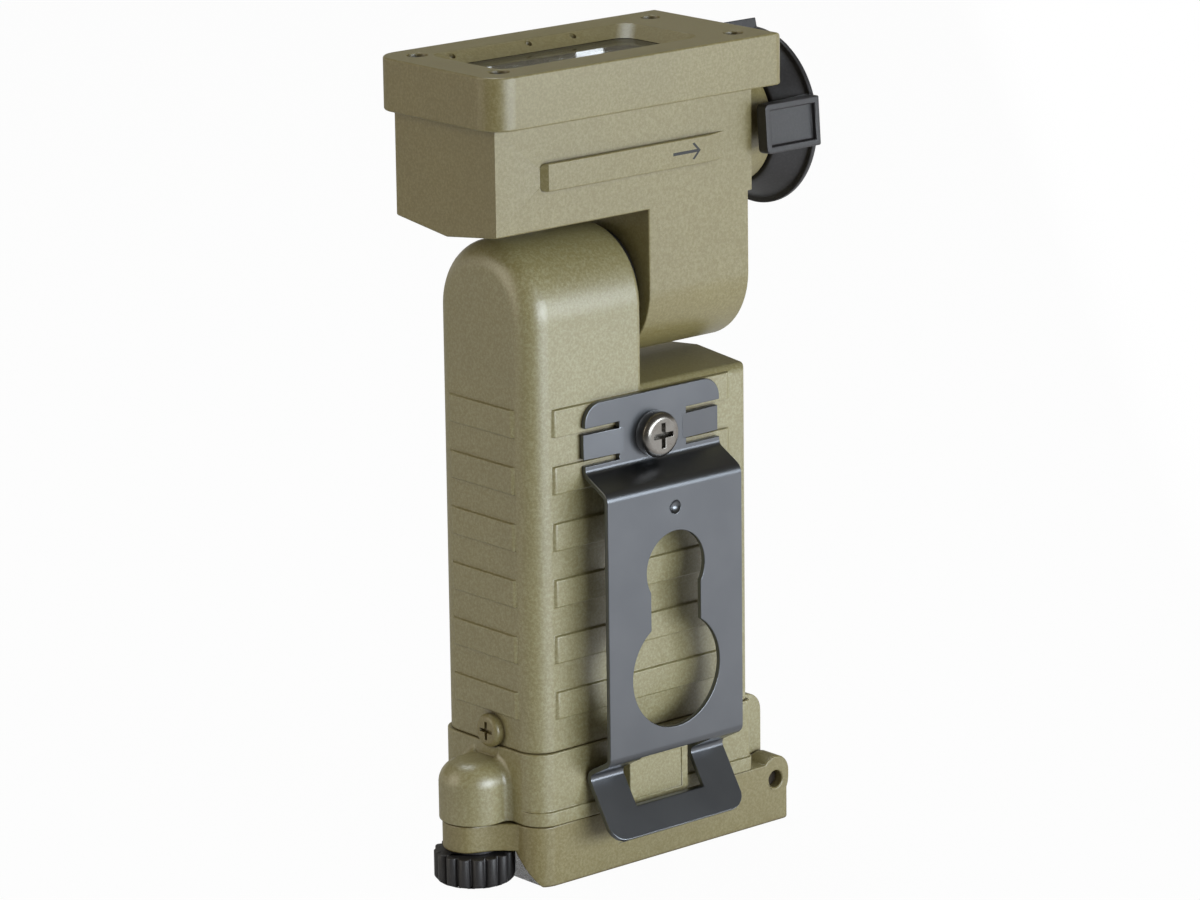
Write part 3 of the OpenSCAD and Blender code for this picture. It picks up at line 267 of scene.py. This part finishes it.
def nylon_finish(sizes, name, base, pale, gloss):
    """Moulded nylon: spark-eroded grain, pale specks on brown, and painted dark brown shade in crevices."""

    def paint(nodes, where):
        scale = 0.9 / sizes.grain
        grain = nodes.noise(where, scale, 3.0, 0.6)
        fine = nodes.noise(where, scale * 2.6, 2.0)
        cloud = nodes.noise(where, 55.0, 3.0)
        speck = (grain * 0.7 + fine * 0.3).ramp(0.38, 0.68)
        tone = nodes.mix(speck, base, pale)
        tone = nodes.mix(cloud.ramp(0.35, 0.7) * 0.16, tone, (0.150, 0.122, 0.050))
        unshaded = crevice_shade_mask(nodes, 0.9 * MM)
        # Painted shade: deep in crevices, where ambient occlusion finds shade, the base colour turns dark
        # brown.
        tone = nodes.mix((1 - unshaded.ramp(0.3, 0.92)) * 0.8, tone, (0.085, 0.058, 0.018))
        rough = sizes.nylon_rough - 0.05 + speck * 0.1
        height = grain * 0.65 + fine * 0.35
        return {"Base Color": tone, "Roughness": rough, "Normal": bump(nodes, height, 0.32, 0.09 * MM)}

    return finish(name, {"IOR": gloss, "Specular IOR Level": 0.9}, paint)


def head_nylon(sizes):
    """The nylon of the head and the door."""
    return nylon_finish(sizes, "tan_nylon", sizes.nylon, sizes.nylon_pale, 1.53)


def body_nylon(sizes):
    """The nylon of the body and the collar, paler than the head's: partly the body's own surface, partly a
    painted sheen.
    """
    return nylon_finish(sizes, "body_nylon", sizes.body_tone_and_sheen, sizes.body_specks_and_sheen, 1.64)


def steel_finish(sizes):
    """Blackened spring steel: faint rolling lines, mottled sheen."""

    def paint(nodes, where):
        lines = nodes.noise(nodes.stretch(where, (2600.0, 2600.0, 160.0)), 1.0, 3.0)
        cloud = nodes.noise(where, 140.0, 3.0)
        fine = nodes.noise(where, 5200.0, 2.0)
        tone = nodes.mix(cloud.ramp(0.3, 0.7) * 0.35, sizes.steel, (0.178, 0.184, 0.196))
        rough = sizes.steel_rough - 0.04 + cloud * 0.05 + lines * 0.02
        height = lines * 0.5 + fine * 0.5
        return {"Base Color": tone, "Roughness": rough, "Normal": bump(nodes, height, 0.02, 0.02 * MM)}

    return finish("clip_steel", {"Metallic": 1.0}, paint)


def black_finish(sizes):
    """Black nylon: fine grain and a dusty sheen."""

    def paint(nodes, where):
        grain = nodes.noise(where, 2600.0, 3.0)
        cloud = nodes.noise(where, 180.0, 3.0)
        tone = nodes.mix(grain.ramp(0.4, 0.75) * 0.5, sizes.black, (0.040, 0.036, 0.038))
        rough = 0.40 + cloud * 0.12
        return {"Base Color": tone, "Roughness": rough, "Normal": bump(nodes, grain, 0.18, 0.05 * MM)}

    return finish("black_nylon", {"IOR": 1.55}, paint)


def metal_finish(name, tone, rough, tint):
    """Plated or turned metal with fine scratches and patches of tint."""

    def paint(nodes, where):
        lines = nodes.noise(nodes.stretch(where, (900.0, 3600.0, 3600.0)), 1.0, 2.0)
        cloud = nodes.noise(where, 420.0, 3.0)
        mixed = nodes.mix(cloud.ramp(0.35, 0.7) * 0.5, tone, tint)
        return {
            "Base Color": mixed,
            "Roughness": rough + cloud * 0.12,
            "Normal": bump(nodes, lines, 0.08, 0.02 * MM),
        }

    return finish(name, {"Metallic": 1.0}, paint)


def rubber_finish():
    """Dull rubber with a powdery grain."""

    def paint(nodes, where):
        grain = nodes.noise(where, 1900.0, 3.0)
        tone = nodes.mix(grain.ramp(0.45, 0.75) * 0.6, (0.012, 0.012, 0.012), (0.030, 0.029, 0.028))
        rough = 0.66 + grain * 0.16
        return {"Base Color": tone, "Roughness": rough, "Normal": bump(nodes, grain, 0.2, 0.05 * MM)}

    return finish("rubber", {}, paint)


def cell_finish():
    """Plain two-tone jacket of an AA cell, bare metal at its ends."""

    def paint(nodes, where):
        split = nodes.add("ShaderNodeSeparateXYZ", None, {"Vector": where}, "Z")
        low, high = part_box("cell_left")
        tall = high.z - low.z
        band = split.ramp(low.z + 0.69 * tall, low.z + 0.70 * tall)
        cap = split.ramp(high.z - 1.9 * MM, high.z - 1.7 * MM)
        foot = 1 - split.ramp(low.z + 0.7 * MM, low.z + 0.9 * MM)
        bare = cap.math("MAXIMUM", cap, foot)
        fine = nodes.noise(where, 1400.0, 2.0)
        tone = nodes.mix(band, (0.025, 0.026, 0.030), (0.36, 0.20, 0.06))
        tone = nodes.mix(bare, tone, (0.62, 0.61, 0.58))
        return {"Base Color": tone, "Metallic": bare, "Roughness": 0.30 + fine * 0.08}

    return finish("cell_jacket", {"Coat Weight": 0.3}, paint)


def board_finish():
    """Circuit board with solder mask over faint tracks."""

    def paint(nodes, where):
        tracks = nodes.noise(nodes.stretch(where, (700.0, 220.0, 220.0)), 1.0, 1.0)
        tone = nodes.mix(tracks.ramp(0.47, 0.53), (0.010, 0.075, 0.028), (0.022, 0.125, 0.050))
        return {"Base Color": tone, "Normal": bump(nodes, tracks.ramp(0.47, 0.53), 0.3, 0.04 * MM)}

    return finish("board_green", {"Roughness": 0.34}, paint)


def lens_finish():
    """Clear window with faint wipe marks."""

    def paint(nodes, where):
        smear = nodes.noise(nodes.stretch(where, (90.0, 400.0, 90.0)), 1.0, 3.0)
        return {"Roughness": 0.015 + smear * 0.03}

    values = {"Base Color": (0.95, 0.98, 0.97), "Transmission Weight": 1.0, "IOR": 1.45}
    return finish("clear_lens", values, paint)


def emitter_finish(name, chip, dome):
    """Emitter: a small chip seen in the middle of its dome."""

    def paint(nodes, where):
        low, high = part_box(name)
        middle = (low + high) / 2
        centre = (middle.x, middle.y, 0.0)
        flat = nodes.stretch(where, (1.0, 1.0, 0.0))
        away = nodes.add("ShaderNodeVectorMath", {"operation": "DISTANCE"}, {0: flat, 1: centre}, "Value")
        ring = away.ramp(0.55 * MM, 0.75 * MM)
        return {"Base Color": nodes.mix(ring, chip, dome), "Roughness": 0.08 + ring * 0.06}

    return finish("emitter_" + name[4:], {"Coat Weight": 1.0}, paint)


def ink_finish(sizes):
    """Pad-printed ink, slightly broken by the grain under it."""

    def paint(nodes, where):
        grain = nodes.noise(where, 2600.0, 3.0)
        tone = nodes.mix(grain.ramp(0.5, 0.75) * 0.35, sizes.ink, (0.050, 0.046, 0.040))
        return {"Base Color": tone, "Roughness": 0.42 + grain * 0.15}

    return finish("printed_ink", {}, paint)


FINISHES = {
    "bright_steel": lambda: metal_finish("bright_steel", (0.27, 0.255, 0.235), 0.20, (0.15, 0.13, 0.11)),
    "dark_steel": lambda: metal_finish("dark_steel", (0.070, 0.058, 0.045), 0.45, (0.040, 0.034, 0.028)),
    "brass": lambda: metal_finish("brass", (0.60, 0.42, 0.16), 0.30, (0.45, 0.30, 0.11)),
    "reflector_metal": lambda: metal_finish("reflector_metal", (0.82, 0.82, 0.80), 0.08, (0.74, 0.74, 0.72)),
    "rubber": rubber_finish,
    "cell_jacket": cell_finish,
    "board_green": board_finish,
    "clear_lens": lens_finish,
    "tan_nylon": lambda: head_nylon(bpy.context.scene.flashlight_finish),
    "body_nylon": lambda: body_nylon(bpy.context.scene.flashlight_finish),
    "clip_steel": lambda: steel_finish(bpy.context.scene.flashlight_finish),
    "black_nylon": lambda: black_finish(bpy.context.scene.flashlight_finish),
    "printed_ink": lambda: ink_finish(bpy.context.scene.flashlight_finish),
    "emitter_white": lambda: emitter_finish("led_white", (0.85, 0.62, 0.10), (0.80, 0.80, 0.76)),
    "emitter_red": lambda: emitter_finish("led_red", (0.55, 0.02, 0.02), (0.62, 0.16, 0.13)),
    "emitter_blue": lambda: emitter_finish("led_blue", (0.05, 0.12, 0.55), (0.55, 0.62, 0.78)),
    "emitter_infrared": lambda: emitter_finish("led_infrared", (0.06, 0.01, 0.03), (0.10, 0.05, 0.09)),
}


def material(slot):
    """The finish of a slot, made once."""
    return bpy.data.materials.get(slot + "_finish") or FINISHES[slot]()


def weld(node):
    """A CAD node's mesh as one closed skin with its flat faces joined up."""
    mesh = bmesh.new()
    mesh.from_mesh(frame["nodes"][node].data)
    mesh.edges.layers.float.new("bevel_weight_edge")
    bmesh.ops.remove_doubles(mesh, verts=mesh.verts, dist=0.003 * MM)
    bmesh.ops.dissolve_degenerate(mesh, edges=mesh.edges, dist=0.012 * MM)
    bmesh.ops.dissolve_limit(mesh, angle_limit=math.radians(0.3), verts=mesh.verts, edges=mesh.edges)
    return mesh


def sharp_edges(mesh, angle=32.0, chosen=None):
    """Edges that fold by more than an angle, face the open and suit chosen."""
    mesh.normal_update()
    mesh.faces.ensure_lookup_table()
    least = math.radians(angle)
    skin = BVHTree.FromBMesh(mesh)
    found = []
    for edge in mesh.edges:
        if len(edge.link_faces) != 2 or edge.calc_face_angle() < least:
            continue
        if chosen is not None and not chosen(edge):
            continue
        out = (edge.link_faces[0].normal + edge.link_faces[1].normal).normalized()
        middle = (edge.verts[0].co + edge.verts[1].co) / 2
        if skin.ray_cast(middle + out * 0.02 * MM, out)[0] is None:
            found.append(edge)
    return found


def half_width(face):
    """About half the width of a narrow face with folds all round, or 1 for any other face."""
    around = sum(edge.calc_length() for edge in face.edges)
    folded = sum(edge.calc_length() for edge in face.edges if edge.calc_face_angle(0.0) > 0.5)
    return 0.9 * face.calc_area() / around if folded > 0.8 * around else 1.0


def room(edge):
    """How far this edge may be cut back before it passes its neighbours on the two faces beside it."""
    least = min(half_width(face) for face in edge.link_faces)
    for loop in edge.link_loops:
        ends = ((loop.vert, loop.link_loop_prev.edge), (loop.link_loop_next.vert, loop.link_loop_next.edge))
        for corner, other in ends:
            along = (edge.other_vert(corner).co - corner.co).normalized()
            away = other.other_vert(corner).co - corner.co
            turn = along.angle(away, math.pi)
            if turn < math.radians(150.0):
                least = min(least, 0.45 * away.length * math.sin(turn))
    return least


def round_over(mesh, edges, radius, steps, even=False):
    """Rounds these edges over, evenly or by less where their neighbours leave less room."""
    weights = mesh.edges.layers.float["bevel_weight_edge"]
    for edge in mesh.edges:
        edge[weights] = 0.0
    for edge in edges:
        edge[weights] = 1.0 if even else min(1.0, room(edge) / radius)
    data = bpy.data.meshes.new("rounding")
    mesh.to_mesh(data)
    held = bpy.data.objects.new("rounding", data)
    bpy.context.scene.collection.objects.link(held)
    bevel = held.modifiers.new("rounding", "BEVEL")
    bevel.limit_method = "WEIGHT"
    bevel.width = radius
    bevel.segments = steps
    bevel.use_clamp_overlap = False
    rounded_data = bpy.data.meshes.new_from_object(held.evaluated_get(bpy.context.evaluated_depsgraph_get()))
    mesh.clear()
    mesh.from_mesh(rounded_data)
    if "bevel_weight_edge" not in mesh.edges.layers.float:
        mesh.edges.layers.float.new("bevel_weight_edge")
    bpy.data.objects.remove(held)
    bpy.data.meshes.remove(data)
    bpy.data.meshes.remove(rounded_data)


def dress(node, mesh, look=None):
    """Makes a rounded skin a piece that stands for its CAD node, in this finish or its slot's own."""
    data = bpy.data.meshes.new(node + "_skin")
    mesh.to_mesh(data)
    mesh.free()
    piece = bpy.data.objects.new(node + "_skin", data)
    bpy.context.scene.collection.objects.link(piece)
    smooth(piece)
    data.materials.append(material(look or SLOT_OF[node]))
    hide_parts(node)
    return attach(piece, BODY_OF[node])


def smooth(piece, angle=34.0):
    """Smooth shading with the flat faces kept flat."""
    piece.data.polygons.foreach_set("use_smooth", [True] * len(piece.data.polygons))
    piece.data.set_sharp_from_angle(angle=math.radians(angle))
    weighted = piece.modifiers.new("flat_faces", "WEIGHTED_NORMAL")
    weighted.keep_sharp = True
    weighted.weight = 80


def paint_solid(node):
    """Gives a CAD node that keeps its shape its slot's finish."""
    solid = frame["nodes"][node]
    solid.data.materials.clear()
    solid.data.materials.append(material(SLOT_OF[node]))


def rounded(node, radius, steps, chosen=None, look=None):
    """A node with its sharp edges, or those chosen, rounded over."""
    mesh = weld(node)
    round_over(mesh, sharp_edges(mesh, chosen=chosen), radius, steps)
    return dress(node, mesh, look)


class FLASHLIGHT_OT_body(Operator):
    """Moulded body with its tower and grip pads, edges rounded"""

    bl_idname = "flashlight.body"
    bl_label = "Body"

    def execute(self, context):
        edges = context.scene.flashlight_edges
        rounded("body_shell", edges.pad, edges.steps, look="body_nylon")
        return {"FINISHED"}


class FLASHLIGHT_OT_collar(Operator):
    """Collar round the foot, with its boss blended into the wall"""

    bl_idname = "flashlight.collar"
    bl_label = "Collar"

    def execute(self, context):
        edges = context.scene.flashlight_edges
        mesh = weld("base_collar")
        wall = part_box("body_shell")[0].x + 0.05 * MM
        low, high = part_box("boss_insert")
        axis = (low + high) / 2
        reach = high.x - axis.x + 0.5 * MM

        def at_root(edge):
            near = all(abs(v.co.x - wall) < 0.03 * MM and (v.co - axis).xy.length > reach for v in edge.verts)
            return near and not edge.is_convex

        roots = sharp_edges(mesh, 20.0, at_root)
        if not roots:
            raise RuntimeError("the boss has no edge on the collar's wall")
        round_over(mesh, roots, edges.blend, edges.steps + 2, even=True)
        round_over(mesh, sharp_edges(mesh, 40.0), edges.collar, edges.steps)
        dress("base_collar", mesh, "body_nylon")
        return {"FINISHED"}


class FLASHLIGHT_OT_door(Operator):
    """Battery door, edges rounded"""

    bl_idname = "flashlight.door"
    bl_label = "Battery door"

    def execute(self, context):
        edges = context.scene.flashlight_edges
        mesh = weld("battery_door")
        self.ease_waist(mesh)
        self.open_scoop(mesh, edges.scoop)
        round_over(mesh, sharp_edges(mesh), edges.door, edges.steps)
        dress("battery_door", mesh)
        return {"FINISHED"}

    def open_scoop(self, mesh, longer):
        """Carries the finger scoop's inner end on under the door."""
        axis = sum(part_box("thumb_knob"), Vector()) / 2
        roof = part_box("battery_door")[0].z + 5.1 * MM
        nearest, farthest, aside = 7.5 * MM, 18.5 * MM, 9.4 * MM
        for vert in mesh.verts:
            place = vert.co - axis
            if nearest < place.x < farthest and abs(place.y) < aside and vert.co.z < roof:
                vert.co.x += longer

    def ease_waist(self, mesh):
        """Evens out the tongue's outline where its round end meets the waist."""
        tongue_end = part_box("base_collar")[0].x + 7.0 * MM
        least_height, lean = 2.0 * MM, 0.01 * MM
        inner, outer = 2.0 * MM, 6.0 * MM
        reach = 2.6 * MM
        crease_angle = 0.4
        uprights = []
        for edge in mesh.edges:
            along = edge.verts[1].co - edge.verts[0].co
            upright = abs(along.z) > least_height and along.xy.length < lean
            if upright and max(edge.verts, key=lambda v: v.co.z).co.x < tongue_end:
                uprights.append(edge)
        creases = [
            e for e in uprights
            if len(e.link_faces) == 2 and e.is_convex and e.calc_face_angle() > crease_angle
            and inner < abs(e.verts[0].co.y) < outer
        ]
        if len(creases) != 2:
            raise RuntimeError("the tongue's waist has no two creases")
        for crease in creases:
            middle = crease.verts[0].co.xy.copy()
            near = [e for e in uprights if (e.verts[0].co.xy - middle).length < reach]
            for _ in range(6):
                self.even_out(near, uprights)

    def even_out(self, near, uprights):
        """Moves each of these upright edges half-way to the mean of the two beside it."""
        moved = {}
        for edge in near:
            beside = [o for f in edge.link_faces for o in f.edges if o is not edge and o in uprights]
            if len(beside) == 2:
                mean = (beside[0].verts[0].co.xy + beside[1].verts[0].co.xy) / 2
                moved[edge] = (edge.verts[0].co.xy + mean) / 2
        for edge, place in moved.items():
            for vert in edge.verts:
                vert.co.xy = place


class FLASHLIGHT_OT_clip(Operator):
    """Bent belt clip, edges broken"""

    bl_idname = "flashlight.clip"
    bl_label = "Belt clip"

    def execute(self, context):
        edges = context.scene.flashlight_edges
        mesh = weld("belt_clip")
        self.round_lip(mesh, edges.lip)
        round_over(mesh, sharp_edges(mesh), edges.clip, 2)
        dress("belt_clip", mesh)
        return {"FINISHED"}

    def round_lip(self, mesh, radius):
        """Widens the small arcs at the lip's two corners to this radius, within the lip's own plane."""
        low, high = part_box("belt_clip")
        middle = (low.x + high.x) / 2
        half = (high.x - low.x) / 2
        near_end = [v for v in mesh.verts if v.co.z < low.z + radius]
        run = Vector(LIP_RUN).normalized()
        end = max(v.co.dot(run) for v in near_end)
        arc, arc_width = 2.45 * MM, 0.8 * MM
        for vert in near_end:
            back = end - vert.co.dot(run)
            side = 1.0 if vert.co.x > middle else -1.0
            if back < arc and abs(vert.co.x - middle) > half - arc_width:
                turn = (1.0 - back / arc) * math.pi / 2
                vert.co += run * (back - radius * (1.0 - math.sin(turn)))
                vert.co.x = middle + side * (half - radius * (1.0 - math.cos(turn)))


class FLASHLIGHT_OT_screws(Operator):
    """Screws with broken edges round their cross recesses"""

    bl_idname = "flashlight.screws"
    bl_label = "Screws"

    def execute(self, context):
        edges = context.scene.flashlight_edges
        for node in ("clip_screw", "collar_screws", "bezel_screws"):
            rounded(node, edges.screw, 2)
        return {"FINISHED"}


class FLASHLIGHT_OT_head(Operator):
    """Head and its bezel, edges rounded"""

    bl_idname = "flashlight.head"
    bl_label = "Head"

    def execute(self, context):
        edges = context.scene.flashlight_edges
        low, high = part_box("lens_bezel")
        below = low.z - 0.05 * MM
        near = 0.1 * MM
        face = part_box("head_housing")[0].y + STRIP_PROUD

        def open_edge(edge):
            """Convex, below the bezel, and not on the slope at the strip's left end."""
            ends = [v.co for v in edge.verts]
            on_slope = max(p.x for p in ends) < STRIP_SLOPE_END and min(p.y for p in ends) < face - near
            return edge.is_convex and max(p.z for p in ends) < below and not on_slope

        rounded("head_housing", edges.head, edges.steps, open_edge)

        def outer(edge):
            """On the bezel's outer walls."""
            left, right = low.x + 4 * MM, high.x - 1.8 * MM
            ends = [v.co for v in edge.verts]
            return all(abs(abs(p.y) - high.y) < near or not left < p.x < right for p in ends)

        mesh = weld("lens_bezel")
        round_over(mesh, sharp_edges(mesh, chosen=outer), edges.bezel, edges.steps)
        rims = sharp_edges(mesh, 40.0, lambda e: min(v.co.z for v in e.verts) > high.z - 0.02 * MM)
        round_over(mesh, rims, edges.bezel * 0.35, 2)
        dress("lens_bezel", mesh)
        return {"FINISHED"}


class FLASHLIGHT_OT_knobs(Operator):
    """Selector knob, thumb screw and push button, edges rounded"""

    bl_idname = "flashlight.knobs"
    bl_label = "Knobs"

    def execute(self, context):
        edges = context.scene.flashlight_edges
        low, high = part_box("selector_knob")
        free_end = low.x + 0.02 * MM
        flange_end, flange_face = high.x - 0.35 * MM, high.x - 0.25 * MM
        rim, thickness = -12.4 * MM, 1.2 * MM
        mesh = weld("selector_knob")

        def at_corner(edge):
            """Across the pointer's thickness at its free end, or round its end on the flange."""
            ends = [v.co for v in edge.verts]
            free = all(p.x < free_end for p in ends) and abs(ends[0].y - ends[1].y) > thickness
            on_flange = all(flange_end < p.x < flange_face and p.y < rim for p in ends)
            return free or on_flange and edge.is_convex

        corners = sharp_edges(mesh, chosen=at_corner)
        if len(corners) < 4:
            raise RuntimeError("the pointer has no free corners")
        round_over(mesh, corners, edges.pointer, edges.steps + 1)
        round_over(mesh, sharp_edges(mesh), edges.knob, 2)
        dress("selector_knob", mesh)
        rounded("thumb_knob", edges.knob * 0.7, 2)
        rounded("push_button", edges.knob * 0.7, 2)
        return {"FINISHED"}


class FLASHLIGHT_OT_arrow(Operator):
    """Plain arrow printed on the strip on the head's front"""

    bl_idname = "flashlight.arrow"
    bl_label = "Arrow"

    def execute(self, context):
        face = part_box("head_housing")[0].y - 0.01 * MM
        x, z = 8.2 * MM, 104.05 * MM
        half, thick, barb = 2.6 * MM, 0.22 * MM, 1.1 * MM
        neck = half - 3.1 * thick
        wing, tip = neck - barb + thick, neck - barb + 2.6 * thick
        lower = [(-half, -thick), (neck, -thick), (wing, -barb), (tip, -barb - 0.6 * thick)]
        upper = [(u, -v) for u, v in reversed(lower)]
        outline = [*lower, (half, 0.0), *upper]
        mesh = bmesh.new()
        corners = [mesh.verts.new((x + u, face, z + v)) for u, v in outline]
        mesh.faces.new(corners)
        data = bpy.data.meshes.new("printed_arrow")
        mesh.to_mesh(data)
        mesh.free()
        piece = bpy.data.objects.new("printed_arrow", data)
        context.scene.collection.objects.link(piece)
        data.materials.append(material("printed_ink"))
        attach(piece, "head")
        return {"FINISHED"}


class FLASHLIGHT_OT_inner(Operator):
    """Finishes of the lens, the reflector, the emitters and everything inside"""

    bl_idname = "flashlight.inner"
    bl_label = "Lens and inner pieces"

    def execute(self, context):
        for node, solid in frame["nodes"].items():
            if not solid.hide_render:
                paint_solid(node)
        frame["nodes"]["hinge_pin"].data.materials[0] = material("dark_steel")
        return {"FINISHED"}


def soft_box(name, azimuth, elevation, away, wide, tall, radiance, tint):
    """Softbox that faces the flashlight's middle. Azimuth 0 is the clip's side, positive to the right."""
    low, high = solid_box
    middle = (Vector(low) + Vector(high)) / 2
    a, e = math.radians(azimuth), math.radians(elevation)
    back = Vector((math.sin(a) * math.cos(e), -math.cos(a) * math.cos(e), math.sin(e)))
    lamp_at(name, middle + back * away, back, wide, tall, radiance, tint)


def lamp_at(name, place, back, wide, tall, radiance, tint):
    """Flat lamp at a place, with its back turned this way."""
    lamp = bpy.data.lights.new(name, "AREA")
    lamp.shape = "RECTANGLE"
    lamp.size = wide
    lamp.size_y = tall
    lamp.energy = radiance * math.pi * wide * tall
    lamp.color = tint
    made = bpy.data.objects.new(name, lamp)
    made.location = place
    made.rotation_euler = back.to_track_quat("Z", "Y").to_euler()
    bpy.context.scene.collection.objects.link(made)


class FLASHLIGHT_OT_stage(Operator):
    """Camera, softboxes, pale floor and white backdrop"""

    bl_idname = "flashlight.stage"
    bl_label = "Stage"

    def execute(self, context):
        scene = context.scene
        sizes = scene.flashlight_stage
        scene.view_settings.view_transform = "Standard"
        self.add_camera(scene, sizes)
        soft_box("key_softbox", 11.0, 5.0, 0.85, 0.80, 0.38, sizes.key, sizes.tint)
        soft_box("fill_softbox", -112.0, 18.0, 0.95, 0.60, 0.80, sizes.fill, sizes.warm)
        soft_box("top_softbox", 160.0, 72.0, 0.90, 0.30, 0.22, sizes.top, sizes.tint)
        self.add_glints(sizes)
        self.add_floor(scene)
        self.add_backdrop(scene, sizes)
        return {"FINISHED"}

    def add_camera(self, scene, sizes):
        """Camera at the place solved from the photograph."""
        azimuth, elevation, roll = CAMERA_TURN
        sa, ca, se, ce = math.sin(azimuth), math.cos(azimuth), math.sin(elevation), math.cos(elevation)
        right = Vector((ca, -sa, 0.0))
        back = Vector((-sa * ce, -ca * ce, se))
        up = back.cross(right)
        turned = math.cos(roll) * right + math.sin(roll) * up
        raised = -math.sin(roll) * right + math.cos(roll) * up
        place = Matrix((turned, raised, back)).transposed().to_4x4()
        place.translation = Vector(CAMERA_PLACE) * MM
        data = bpy.data.cameras.new("camera")
        data.lens = sizes.lens
        data.sensor_width = 36.0
        data.clip_start = 0.01
        camera = bpy.data.objects.new("camera", data)
        camera.matrix_world = place
        scene.collection.objects.link(camera)
        scene.camera = camera

    def add_glints(self, sizes):
        """Two small lamps behind, which the lens mirrors as highlights."""
        low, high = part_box("lens")
        window = Vector(((low.x + high.x) / 2, 0.0, high.z))
        for name, place, wide, tall in (
            ("glint_right", Vector((384.0, 450.0, 225.4)) * MM, 7 * MM, 3 * MM),
            ("glint_left", Vector((355.0, 457.0, 227.3)) * MM, 3 * MM, 2 * MM),
        ):
            lamp_at(name, place, (place - window).normalized(), wide, tall, sizes.glint, sizes.tint)

    def add_floor(self, scene):
        """Pale round floor that fades into the white backdrop."""
        mesh = bmesh.new()
        bmesh.ops.create_circle(mesh, cap_ends=True, radius=2.0, segments=96)
        data = bpy.data.meshes.new("floor")
        mesh.to_mesh(data)
        mesh.free()
        floor = bpy.data.objects.new("floor", data)
        scene.collection.objects.link(floor)
        made = bpy.data.materials.new("pale_floor")
        made.use_nodes = True
        nodes = Nodes(made.node_tree)
        where = nodes.add("ShaderNodeTexCoord", output="Object")
        camera = nodes.add("ShaderNodeLightPath", output="Is Camera Ray")
        front = nodes.dot(where, TOWARDS_CAMERA).ramp(0.03, 0.30)
        right = nodes.dot(where, TO_THE_RIGHT).ramp(-0.05, 0.12)
        tone = nodes.mix(front, PAPER_FAR, PAPER_NEAR)
        paper = nodes.add("ShaderNodeBsdfDiffuse", None, {"Color": tone})
        white = nodes.add("ShaderNodeEmission", None, {"Color": (1.0, 1.0, 1.0), "Strength": 1.0})
        shown = camera.math("MAXIMUM", camera * FLOOR_WHITE, nodes.seen() * (1 - front) * right)
        both = nodes.add("ShaderNodeMixShader", None, {0: shown, 1: paper, 2: white})
        nodes.add("ShaderNodeOutputMaterial", None, {"Surface": both})
        data.materials.append(made)

    def add_backdrop(self, scene, sizes):
        """White sweep behind the flashlight, dim room above and behind the camera."""
        world = bpy.data.worlds.new("studio")
        world.use_nodes = True
        scene.world = world
        nodes = Nodes(world.node_tree)
        towards = nodes.add("ShaderNodeTexCoord", output="Generated")
        height = nodes.add("ShaderNodeSeparateXYZ", None, {"Vector": towards}, "Z")
        sweep = (1 - nodes.dot(towards, TOWARDS_CAMERA).ramp(-0.4, 0.2)) * (1 - height.ramp(0.02, 0.16))
        camera = nodes.add("ShaderNodeLightPath", output="Is Camera Ray")
        shown = camera.math("MAXIMUM", camera, nodes.seen() * sweep)
        strength = ROOM_LEVEL + shown * (1 - ROOM_LEVEL)
        tone = nodes.mix(shown, sizes.warm, (1.0, 1.0, 1.0))
        light = nodes.add("ShaderNodeBackground", None, {"Color": tone, "Strength": strength})
        nodes.add("ShaderNodeOutputWorld", None, {"Surface": light})


STEPS = (
    FLASHLIGHT_OT_body,
    FLASHLIGHT_OT_collar,
    FLASHLIGHT_OT_door,
    FLASHLIGHT_OT_clip,
    FLASHLIGHT_OT_screws,
    FLASHLIGHT_OT_head,
    FLASHLIGHT_OT_knobs,
    FLASHLIGHT_OT_arrow,
    FLASHLIGHT_OT_inner,
    FLASHLIGHT_OT_stage,
)


class FLASHLIGHT_PT_panel(Panel):
    """Lists the sizes and the steps that dress the flashlight"""

    bl_idname = "FLASHLIGHT_PT_panel"
    bl_label = "Flashlight"
    bl_space_type = "VIEW_3D"
    bl_region_type = "UI"
    bl_category = "Flashlight"

    def draw(self, context):
        for group in ("flashlight_edges", "flashlight_finish", "flashlight_stage"):
            box = self.layout.box()
            sizes = getattr(context.scene, group)
            for name in sizes.__annotations__:
                box.prop(sizes, name)
        for step in STEPS:
            self.layout.operator(step.bl_idname)


CLASSES = (EdgeSizes, FinishSizes, StageSizes, *STEPS, FLASHLIGHT_PT_panel)


def register():
    for item in CLASSES:
        bpy.utils.register_class(item)
    bpy.types.Scene.flashlight_edges = PointerProperty(type=EdgeSizes)
    bpy.types.Scene.flashlight_finish = PointerProperty(type=FinishSizes)
    bpy.types.Scene.flashlight_stage = PointerProperty(type=StageSizes)


def unregister():
    del bpy.types.Scene.flashlight_stage
    del bpy.types.Scene.flashlight_finish
    del bpy.types.Scene.flashlight_edges
    for item in reversed(CLASSES):
        bpy.utils.unregister_class(item)


def main():
    register()
    bpy.ops.flashlight.body()
    bpy.ops.flashlight.collar()
    bpy.ops.flashlight.door()
    bpy.ops.flashlight.clip()
    bpy.ops.flashlight.screws()
    bpy.ops.flashlight.head()
    bpy.ops.flashlight.knobs()
    bpy.ops.flashlight.arrow()
    bpy.ops.flashlight.inner()
    bpy.ops.flashlight.stage()


if __name__ == "__main__":
    main()
